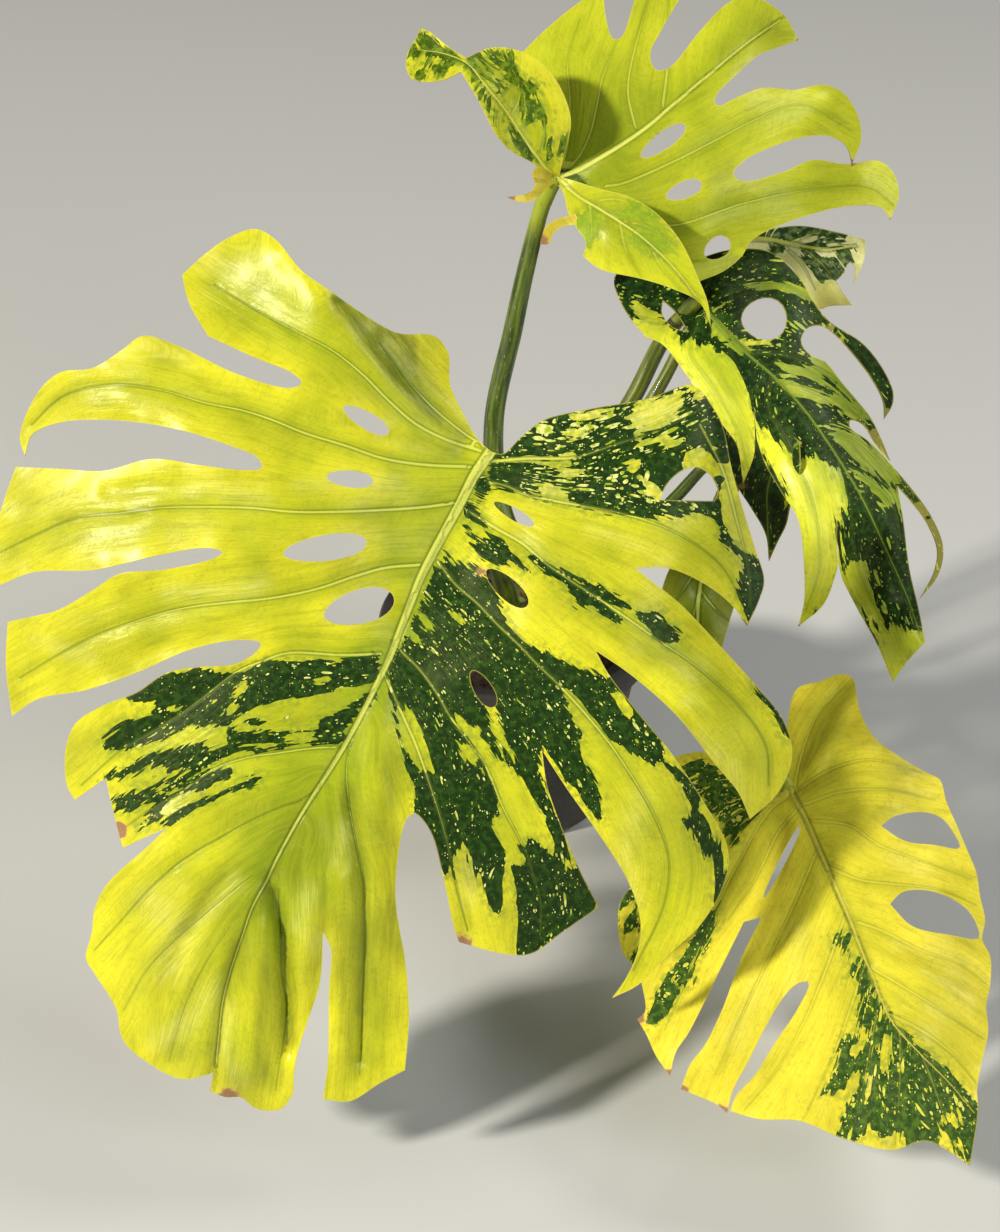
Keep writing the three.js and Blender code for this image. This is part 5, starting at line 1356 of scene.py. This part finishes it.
farLeaf = {
    "slot": "leaf_cream", "ribWidth": (2.6, 0.8), "ribRise": 0.5, "quilt": 0.6,
    "sheets": [{
        "depth": 1510,
        "outline": "740,232 769,229 800,226 836,232 865,240 | 864,260 853,284 | 855,266 849,262 844,273 "
            "836,281 | 843,293 852,305 | 830,306 818,309 806,293 794,270 779,258 753,252 738,244",
        "lifts": "745,240,0 800,228,-16 863,242,-10 853,282,6 800,262,12 845,300,16 818,306,10 820,250,4",
    }],
    "midrib": "742,238 770,240 800,246 826,250 856,246",
    "veins": [
        (1.0, "775,240 800,262 815,290"),
        (1.0, "800,246 825,268 845,298"),
        (1.0, "790,243 815,234 840,234"),
    ],
    "marks": [
        ("green", "738,230 800,224 850,232 840,240 800,238 760,241"),
        ("green", "798,244 830,242 854,250 848,270 826,282 808,268"),
        ("clear", "812,250 826,248 836,256 820,258"),
        ("green", "768,243 786,247 780,255 770,251"),
    ],
    "tints": "826,290,30,0.9",
    "look": {"lime": (0.99, 0.95, 0.52), "gold": (0.98, 0.9, 0.22), "dark": (0.016, 0.05, 0.012),
        "olive": (0.56, 0.56, 0.24), "veil": 0.25, "mid": (0.2, 0.28, 0.08), "fleck": (0.66, 0.66, 0.36),
        "flecks": 0.7, "ragged": 5.0, "marble": 2.0, "warmth": 0.0},
    "stalk": {
        "radii": [5.5, 4.6, 4.2, 3.8, 2.8], "foot": onStem(48, 146),
        "course": "600,480,1535 659,388,1530 684,340,1522 720,272,1516 748,241,1511",
        "look": {"limeFrom": 0.9, "green": (0.2, 0.23, 0.016), "deep": (0.07, 0.1, 0.008)},
    },
}

lowLeaf = {
    "slot": "leaf", "ribWidth": (1.8, 0.4), "ribRise": 0.8, "quilt": 1.2,
    "sheets": [{
        "depth": 1340,
        "outline": "790,790 787,755 788,718 797,689 818,682 843,674 853,679 859,708 873,736 900,757 925,772 "
            "940,780 946,801 957,826 967,850 976,872 980,897 985,920 982,940 990,956 990,985 986,1005 "
            "988,1032 981,1065 977,1090 978,1112 970,1166 | 950,1152 925,1141 892,1150 842,1138 800,1121 "
            "758,1119 730,1111 | 736,1096 755,1075 775,1043 797,1010 809,982 797,984 783,998 765,1028 "
            "748,1062 733,1090 727,1113 | 716,1104 700,1097 681,1089 | 690,1065 705,1045 722,1010 735,975 "
            "745,950 762,917 | 744,922 | 735,940 720,970 703,1005 688,1034 676,1052 670,1076 | 656,1056 "
            "646,1034 637,1019 | 645,1012 643,990 636,968 624,955 618,928 620,903 634,880 648,830 660,785 "
            "677,756 | 700,752 722,757 752,772 775,790",
        "holes": "782,862,80,7,-63",
        "windows": [
            "881,826 893,817 920,812 940,817 952,830 960,848 935,845 905,841",
            "890,904 903,892 930,891 956,901 972,915 979,938 950,935 912,926",
        ],
        "lifts": "788,787,0 832,879,24 871,973,50 920,1054,74 968,1160,88 855,690,-22 805,700,-20 870,745,2 "
            "940,785,2 900,850,18 962,850,6 930,910,30 982,925,14 940,1000,56 988,980,36 984,1060,62 "
            "800,1000,50 745,930,24 700,1085,62 670,1070,50 640,1015,36 622,920,6 640,850,-8 690,765,-22 "
            "740,800,-8 760,1112,76 842,1132,84 900,1145,88 720,870,6",
    }],
    "midrib": "788,784 798,804 807,822 832,879 850,921 860,946 871,973 892,1022 920,1054 948,1082 974,1113",
    "veins": [
        (0.95, "793,793 830,770 870,760 930,775"),
        (0.95, "800,806 840,792 890,790 935,800"),
        (1.0, "806,820 850,826 880,846 925,862 972,880"),
        (0.95, "826,866 860,880 890,884 940,890 976,905"),
        (1.0, "850,920 880,930 920,950 960,965 988,985"),
        (0.95, "868,966 900,985 940,1010 985,1040"),
        (1.3, "888,1014 920,1030 950,1052 978,1085"),
        (1.3, "793,793 800,760 815,720 840,690"),
        (0.95, "793,793 770,810 740,860 715,910 690,970 665,1030"),
        (0.95, "800,806 780,830 755,880 728,920"),
        (1.0, "818,848 796,900 768,960 740,1020 715,1075"),
        (1.0, "846,914 826,970 800,1030 770,1080 745,1110"),
        (0.95, "866,962 850,1010 832,1060 808,1110"),
        (1.3, "880,996 872,1040 862,1090 852,1130"),
        (1.3, "900,1030 900,1070 898,1110 895,1145"),
        (1.2, "922,1056 935,1090 945,1120 955,1145"),
        (1.3, "790,790 750,785 715,790 690,800"),
        (1.3, "786,796 740,812 700,850 660,900 635,960"),
    ],
    "marks": [
        ("green", "842,944 846,930 851,945 849,962 845,957"),
        ("green", "848,966 853,960 856,974 851,982"),
        ("green", "830,937 836,936 838,939 832,940"),
        ("green", "855,956 862,958 870,983 885,1013 898,1028 915,1040 935,1056 950,1073 965,1093 984,1110 "
         "980,1135 974,1172 962,1160 940,1150 920,1148 904,1148 902,1130 888,1138 876,1132 868,1120 "
         "860,1142 845,1142 836,1137 842,1120 850,1100 856,1075 848,1084 832,1098 826,1092 834,1070 "
         "837,1045 844,1032 853,1040 862,1030 856,1015 860,1000 857,980"),
        ("clear", "879,1040 888,1035 891,1055 884,1072 877,1058"),
        ("clear", "846,1052 862,1039 877,1022 869,1037 855,1054"),
        ("clear", "939,1115 955,1109 961,1125 945,1129"),
        ("clear", "936,1141 945,1132 966,1152 950,1150"),
        ("clear", "862,1092 870,1077 867,1102"),
        ("green", "680,768 700,761 735,776 754,790 756,812 744,830 735,848 720,824 704,802 696,792 "
         "684,782"),
        ("green", "704,946 694,964 690,985 674,1000 664,1016 648,1021 654,1005 664,988 676,970 690,953"),
        ("green", "618,922 632,914 642,925 630,934"),
        ("green", "628,952 640,945 642,962 633,970"),
        ("green", "624,882 640,888 636,902 620,908"),
        ("green", "688,944 703,920 720,902 716,925 702,947"),
    ],
    # painted sheen, with denser flecks where it crosses the green
    "paintedSheensAndFlecks": [
        ("760,980 735,1040", 12, 0.3), ("940,940 970,1000", 14, 0.3), ("880,740 910,755", 12, 0.3),
        ("800,930 790,990", 12, 0.25),
    ],
    "creases": [
        ("796,790 830,766 880,752", 6, 1.8), ("800,798 850,784 910,782", 7, -1.6),
        ("806,812 850,808 900,815", 7, 1.6), ("812,770 836,726 856,690", 8, -2),
        ("778,826 748,882 716,944", 8, 2.2), ("760,812 720,870 690,930", 8, -2),
        ("830,880 806,950 778,1020", 8, 1.6), ("870,900 910,910 960,925", 8, 1.4),
        ("880,960 930,975 975,1000", 9, -1.6), ("906,1010 945,1030 980,1060", 9, 1.4),
    ],
    # painted shade along the creases and lobe bases
    "paintedShades": [
        ("772,822 745,872 712,930", 10, 0.3), ("798,800 830,868 866,958", 5, 0.3),
        ("830,735 845,690", 12, 0.35), ("850,775 900,770", 8, 0.25), ("860,812 920,812", 8, 0.2),
        ("700,930 670,1000", 10, 0.25), ("870,880 940,900", 8, 0.2), ("900,960 960,990", 8, 0.2),
    ],
    "tints": "640,930,50,0.4 660,1040,60,0.45 800,1080,80,0.2 820,720,40,-0.3 700,850,60,-0.2",
    "burns": "670,1078,13 722,1112,10 640,1018,8 684,1090,7",
    "look": {"lime": (0.63, 0.6, 0.03), "gold": (0.9, 0.76, 0.048), "rib": (0.72, 0.64, 0.1), "warmth": 0.58,
        "flecks": 1.3, "ragged": 8.0, "marble": 3.5, "veins": 0.55, "dark": (0.022, 0.062, 0.01),
        "mid": (0.075, 0.15, 0.015), "fleck": (0.7, 0.72, 0.12)},
    "stalk": {
        "radii": [6.8, 5.6, 5.2, 4.8, 4.0], "foot": onStem(-36, 154),
        "course": "600,590,1470 680,652,1420 745,725,1368 789,790,1342",
    },
}

backLeaf = {
    "slot": "leaf", "ribWidth": (3.0, 0.9), "ribRise": 0.6, "quilt": 0.8,
    "sheets": [{
        "depth": 1500,
        "outline": "742,440 726,470 708,510 688,542 668,572 660,605 668,645 688,675 708,694 | 720,655 "
            "730,620 738,590 740,550 737,500 746,465",
        "lifts": "742,442,0 668,600,4 700,690,8 735,600,8 700,600,16 715,510,10",
    }],
    "midrib": "742,442 730,480 716,520 704,565 698,610 700,650 708,692",
    "veins": [
        (1.1, "722,500 704,530 684,560"),
        (1.1, "708,550 690,580 670,610"),
        (1.1, "700,590 690,630 680,655"),
        (1.1, "712,540 726,560 736,580"),
        (1.1, "700,590 716,610 728,620"),
    ],
    "marks": [],
    "burns": "708,692,4",
    "look": {"lime": (0.2, 0.27, 0.014), "gold": (0.34, 0.36, 0.016), "warmth": 0.2},
    "stalk": {
        "radii": [5.5, 4.4, 4, 3.8, 3.0], "foot": onStem(0, 126),
        "course": "620,553,1510 676,497,1512 710,462,1508 741,447,1501",
    },
}
leaves = {"front": frontLeaf, "top": topLeaf, "right": rightLeaf, "far": farLeaf, "low": lowLeaf,
          "back": backLeaf}


# stem, soil and pot
stemBuild = {
    "bottom": 0.062, "top": 0.182, "radiusMm": 11.5, "rings": 5, "firstRing": 0.106, "ringStep": 0.014,
}


def buildStem():
    route = [[0, 0, stemBuild["bottom"]], [0, 0, 0.10], [0, 0, 0.14], [0, 0, stemBuild["top"]]]

    def shape(share, angle):
        z = stemBuild["bottom"] + share * (stemBuild["top"] - stemBuild["bottom"])
        scale = 1 - 0.10 * share
        for ring in range(stemBuild["rings"]):
            middle = stemBuild["firstRing"] + 0.002 + ring * stemBuild["ringStep"]
            tilt = 0.0022 * np.sin(angle + ring * 2.4)
            scale = scale + 0.12 * np.exp(-((z - middle - tilt) / 0.0014) ** 2)
            scale = scale - 0.05 * np.exp(-((z - middle - 0.003 - tilt) / 0.0016) ** 2)
        scale = scale * (1 + 0.03 * np.sin(3 * angle + 40 * z) + 0.02 * np.sin(7 * angle - 90 * z))
        return scale * np.where(share > 0.95, 1 - 0.45 * ((share - 0.95) / 0.05) ** 2, 1)

    stem = tubeAlong("plantStem", route, [stemBuild["radiusMm"]] * 2, 150, 48, shape)
    finish, tree, shader = newFinish("stemSkin")
    place = fieldOf(tree, "stalkPlace", vector=True)
    lengthwise = cloud(tree, place, (0.5, 0.5, 0.07), 3.0)
    blotch = cloud(tree, place, (0.2, 0.2, 0.2), 3.0)
    rings = addNode(tree, "ShaderNodeTexWave", {
        "Vector": place, "Scale": 0.0714 / 2, "Distortion": 1.2, "Detail": 2.0, "Detail Scale": 2.0,
    }, bands_direction="Z", wave_profile="SIN").outputs["Fac"]
    skin = paintOver(tree, (0.10, 0.13, 0.02), (
        (ramp(tree, lengthwise, 0.35, 0.7), (0.25, 0.29, 0.06)),
        (ramp(tree, rings, 0.72, 0.95, 0.0, 0.8), (0.20, 0.14, 0.06)),
        (ramp(tree, blotch, 0.52, 0.68, 0.0, 0.75), (0.16, 0.10, 0.045)),
    ))
    wire(tree, shader, Base_Color=skin, Roughness=ramp(tree, blotch, 0.3, 0.7, 0.5, 0.75))
    addBump(tree, shader, scaled(tree, lengthwise, 0.8, times(tree, blotch, 0.5)), 0.001)
    stem.data.materials.append(finish)
    smoothShade(stem, 60)
    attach(stem, "root")
    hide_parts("stem")


potBuild = {
    # radius and height of each ring of the wall, from the underside out, up and back down inside
    "profile": [(0.058, 0.003), (0.0627, 0.030), (0.0676, 0.060), (0.0726, 0.090), (0.0763, 0.108),
                (0.0828, 0.1105), (0.0838, 0.118), (0.084, 0.127), (0.0822, 0.130), (0.076, 0.130),
                (0.074, 0.127), (0.0676, 0.090), (0.0535, 0.009)],
    "foot": 0.055, "sides": 128, "drain": 0.005, "drainCircle": 0.034,
    "clay": (0.030, 0.026, 0.024), "clayLight": (0.062, 0.054, 0.048),
}


def buildPot():
    bpy.ops.object.select_all(action="DESELECT")
    bpy.ops.mesh.primitive_circle_add(vertices=potBuild["sides"], radius=potBuild["foot"], fill_type="NGON")
    pot = bpy.context.object
    pot.name = "plantPot"
    bpy.ops.object.mode_set(mode="EDIT")
    bpy.ops.mesh.select_all(action="SELECT")
    radius, height = potBuild["foot"], 0.0
    for nextRadius, nextHeight in potBuild["profile"]:
        bpy.ops.mesh.extrude_region_move(TRANSFORM_OT_translate={"value": (0, 0, nextHeight - height)})
        grow = nextRadius / radius
        bpy.ops.transform.resize(value=(grow, grow, 1), center_override=(0, 0, nextHeight))
        radius, height = nextRadius, nextHeight
    bpy.ops.mesh.select_all(action="SELECT")
    bpy.ops.mesh.normals_make_consistent(inside=False)
    bpy.ops.object.mode_set(mode="OBJECT")
    bevel = pot.modifiers.new("softEdges", "BEVEL")
    bevel.width = 0.0008
    bevel.segments = 3
    bevel.limit_method = "ANGLE"
    bevel.angle_limit = math.radians(18)
    bpy.ops.object.modifier_apply(modifier=bevel.name)
    for turn in range(4):
        angle = math.pi / 4 + turn * math.pi / 2
        spot = (potBuild["drainCircle"] * math.cos(angle), potBuild["drainCircle"] * math.sin(angle), 0.004)
        bpy.ops.object.select_all(action="DESELECT")
        bpy.ops.mesh.primitive_cylinder_add(vertices=32, radius=potBuild["drain"], depth=0.03, location=spot)
        drill = bpy.context.object
        hole = pot.modifiers.new("drainHole", "BOOLEAN")
        hole.operation = "DIFFERENCE"
        hole.solver = "EXACT"
        hole.object = drill
        bpy.ops.object.select_all(action="DESELECT")
        pot.select_set(True)
        bpy.context.view_layer.objects.active = pot
        bpy.ops.object.modifier_apply(modifier=hole.name)
        bpy.data.objects.remove(drill)
    finish, tree, shader = newFinish("potClay")
    place = addNode(tree, "ShaderNodeTexCoord").outputs["Object"]
    speckle = cloud(tree, place, 900.0, 1.0)
    mist = cloud(tree, place, 28.0, 3.0)
    turning = cloud(tree, place, (6.0, 6.0, 420.0))
    clay = paintOver(tree, potBuild["clay"], (
        (ramp(tree, mist, 0.3, 0.75), potBuild["clayLight"]),
        (ramp(tree, speckle, 0.68, 0.76, 0.0, 0.55), (0.16, 0.145, 0.125)),
        (ramp(tree, speckle, 0.30, 0.22, 0.0, 0.6), (0.008, 0.007, 0.007)),
    ))
    wire(tree, shader, Base_Color=clay, Roughness=ramp(tree, mist, 0.3, 0.7, 0.42, 0.60))
    addBump(tree, shader, scaled(tree, turning, 0.35, times(tree, speckle, 0.10)), 0.001, 0.6)
    pot.data.materials.append(finish)
    smoothShade(pot, 30)
    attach(pot, "root")
    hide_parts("pot")


soilBuild = {
    "top": 0.114, "heap": 0.005, "bottom": 0.0093, "rings": 34, "sides": 96, "rough": 0.0018,
    "bark": 340, "barkLength": (0.006, 0.017), "grit": 150, "gritSize": (0.0012, 0.0030),
    "clearOfStem": 0.0175, "reach": 0.067,
    # the pot's outside at its foot, how much it widens on its way up, and the wall with the soil's gap
    "potFoot": 0.058, "potWidening": 0.022, "potHeight": 0.130, "wall": 0.0063,
}


def soilRadius(z):
    return soilBuild["potFoot"] + soilBuild["potWidening"] * z / soilBuild["potHeight"] - soilBuild["wall"]


def soilHeight(radius):
    return soilBuild["top"] - soilBuild["heap"] * (radius / soilRadius(soilBuild["top"])) ** 2


def chipShape(kind):
    bpy.ops.object.select_all(action="DESELECT")
    if kind == "bark":
        bpy.ops.mesh.primitive_cube_add(size=1)
        chip = bpy.context.object
        bpy.ops.object.mode_set(mode="EDIT")
        bpy.ops.mesh.select_all(action="SELECT")
        bpy.ops.mesh.bevel(offset=0.16, segments=1, affect="EDGES")
        bpy.ops.mesh.quads_convert_to_tris()
        bpy.ops.object.mode_set(mode="OBJECT")
    else:
        bpy.ops.mesh.primitive_ico_sphere_add(subdivisions=1, radius=0.5)
        chip = bpy.context.object
    points = np.array([tuple(v.co) for v in chip.data.vertices])
    faces = np.array([tuple(p.vertices) for p in chip.data.polygons])
    bpy.data.objects.remove(chip)
    return points, faces


def turnMatrix(tiltX, tiltY, spin):
    return np.array(Euler((tiltX, tiltY, spin)).to_matrix())


def scatterPieces(name, kind, count, sizes, seed):
    dice = random.Random(seed)
    shape, faces = chipShape(kind)
    points, triangles, tones = [], [], []
    for _ in range(count):
        size = dice.uniform(*sizes)
        if kind == "bark":
            stretch = np.array([size, size * dice.uniform(0.45, 0.75), size * dice.uniform(0.22, 0.42)])
        else:
            stretch = np.array([size, size * dice.uniform(0.7, 1.0), size * dice.uniform(0.6, 0.9)])
        ragged = shape * (1 + np.array([[dice.uniform(-0.2, 0.2) for _ in range(3)] for _ in shape]))
        ragged[:, 2] += 0.25 * np.sin(ragged[:, 0] * 3 + dice.uniform(0, 6))
        turned = (ragged * stretch) @ turnMatrix(dice.uniform(-0.6, 0.6), dice.uniform(-0.6, 0.6),
                                                 dice.uniform(0, 6.28)).T
        near, far = soilBuild["clearOfStem"], soilBuild["reach"]
        radius = near + (far - near) * math.sqrt(dice.random())
        angle = dice.uniform(0, 6.2832)
        height = soilHeight(radius) + 0.12 * size
        spot = np.array([radius * math.cos(angle), radius * math.sin(angle), height])
        triangles.append(faces + sum(len(p) for p in points))
        points.append(turned + spot)
        tones.append(np.full(len(shape), dice.random()))
    return meshFrom(name, np.vstack(points), np.vstack(triangles), None, {"chipTone": np.concatenate(tones)})


def buildSoil():
    rings, sides = soilBuild["rings"], soilBuild["sides"]
    outer = soilRadius(soilBuild["top"] - soilBuild["heap"])
    points = [(0.0, 0.0, soilHeight(0.0))]
    for ring in range(1, rings + 1):
        radius = outer * ring / rings
        for k in range(sides):
            angle = 2 * math.pi * k / sides
            x, y = radius * math.cos(angle), radius * math.sin(angle)
            bump = soilBuild["rough"] * (noise.noise(Vector((x * 130, y * 130, 1.7)))
                                         + 0.6 * noise.noise(Vector((x * 420, y * 420, 4.2))))
            points.append((x, y, soilHeight(radius) + bump))
    low = soilRadius(soilBuild["bottom"])
    for k in range(sides):
        angle = 2 * math.pi * k / sides
        points.append((low * math.cos(angle), low * math.sin(angle), soilBuild["bottom"]))
    points.append((0.0, 0.0, soilBuild["bottom"]))
    triangles = []
    for k in range(sides):
        after = (k + 1) % sides
        triangles.append((0, 1 + k, 1 + after))
        for ring in range(rings):
            a, b = 1 + ring * sides + k, 1 + ring * sides + after
            c, d = a + sides, b + sides
            triangles += [(a, c, d), (a, d, b)]
        triangles.append((len(points) - 1, 1 + rings * sides + after, 1 + rings * sides + k))
    soil = meshFrom("soilBed", np.array(points), np.array(triangles))
    finish, tree, shader = newFinish("soilMix")
    place = addNode(tree, "ShaderNodeTexCoord").outputs["Object"]
    crumbs = addNode(tree, "ShaderNodeTexVoronoi", {"Vector": place, "Scale": 420.0}).outputs["Distance"]
    loam = cloud(tree, place, 160.0, 4.0)
    fibre = cloud(tree, place, (700.0, 130.0, 400.0))
    tone = paintOver(tree, (0.012, 0.008, 0.005), (
        (ramp(tree, loam, 0.3, 0.7), (0.060, 0.036, 0.020)),
        (ramp(tree, fibre, 0.66, 0.8, 0.0, 0.6), (0.15, 0.095, 0.05)),
    ))
    wire(tree, shader, Base_Color=tone, Roughness=ramp(tree, loam, 0.3, 0.7, 0.85, 0.97))
    addBump(tree, shader, scaled(tree, crumbs, -1.2, times(tree, loam, 1.5)), 0.0012)
    soil.data.materials.append(finish)
    smoothShade(soil, 50)

    bark = scatterPieces("barkChips", "bark", soilBuild["bark"], soilBuild["barkLength"], 11)
    finish, tree, shader = newFinish("barkSkin")
    place = addNode(tree, "ShaderNodeTexCoord").outputs["Object"]
    tone = fieldOf(tree, "chipTone")
    rings = cloud(tree, place, (260.0, 900.0, 900.0), 3.0)
    wood = mixColours(tree, tone, (0.050, 0.026, 0.014), (0.19, 0.098, 0.048))
    wood = mixColours(tree, ramp(tree, rings, 0.35, 0.7), (0.028, 0.016, 0.010), wood)
    wire(tree, shader, Base_Color=wood, Roughness=ramp(tree, rings, 0.3, 0.7, 0.75, 0.92))
    addBump(tree, shader, rings, 0.0008)
    bark.data.materials.append(finish)
    smoothShade(bark, 25)

    grit = scatterPieces("pumiceGrit", "grit", soilBuild["grit"], soilBuild["gritSize"], 5)
    finish, tree, shader = newFinish("pumiceSkin")
    place = addNode(tree, "ShaderNodeTexCoord").outputs["Object"]
    pores = addNode(tree, "ShaderNodeTexVoronoi", {"Vector": place, "Scale": 2600.0}).outputs["Distance"]
    pale = mixColours(tree, fieldOf(tree, "chipTone"), (0.42, 0.38, 0.31), (0.66, 0.63, 0.56))
    pale = mixColours(tree, ramp(tree, pores, 0.12, 0.35, 0.5, 0.0), pale, (0.20, 0.17, 0.13))
    wire(tree, shader, Base_Color=pale, Roughness=ramp(tree, pores, 0.1, 0.5, 0.95, 0.8))
    addBump(tree, shader, pores, 0.0004)
    grit.data.materials.append(finish)
    smoothShade(grit, 40)
    for piece in (soil, bark, grit):
        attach(piece, "root")
    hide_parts("soil")


# the whole plant
for name, leaf in leaves.items():
    buildBlade(name, leaf)
    buildStalk(name, leaf)
print("leaves are built")
buildStem()
buildPot()
buildSoil()
print("stem, pot and soil are built")
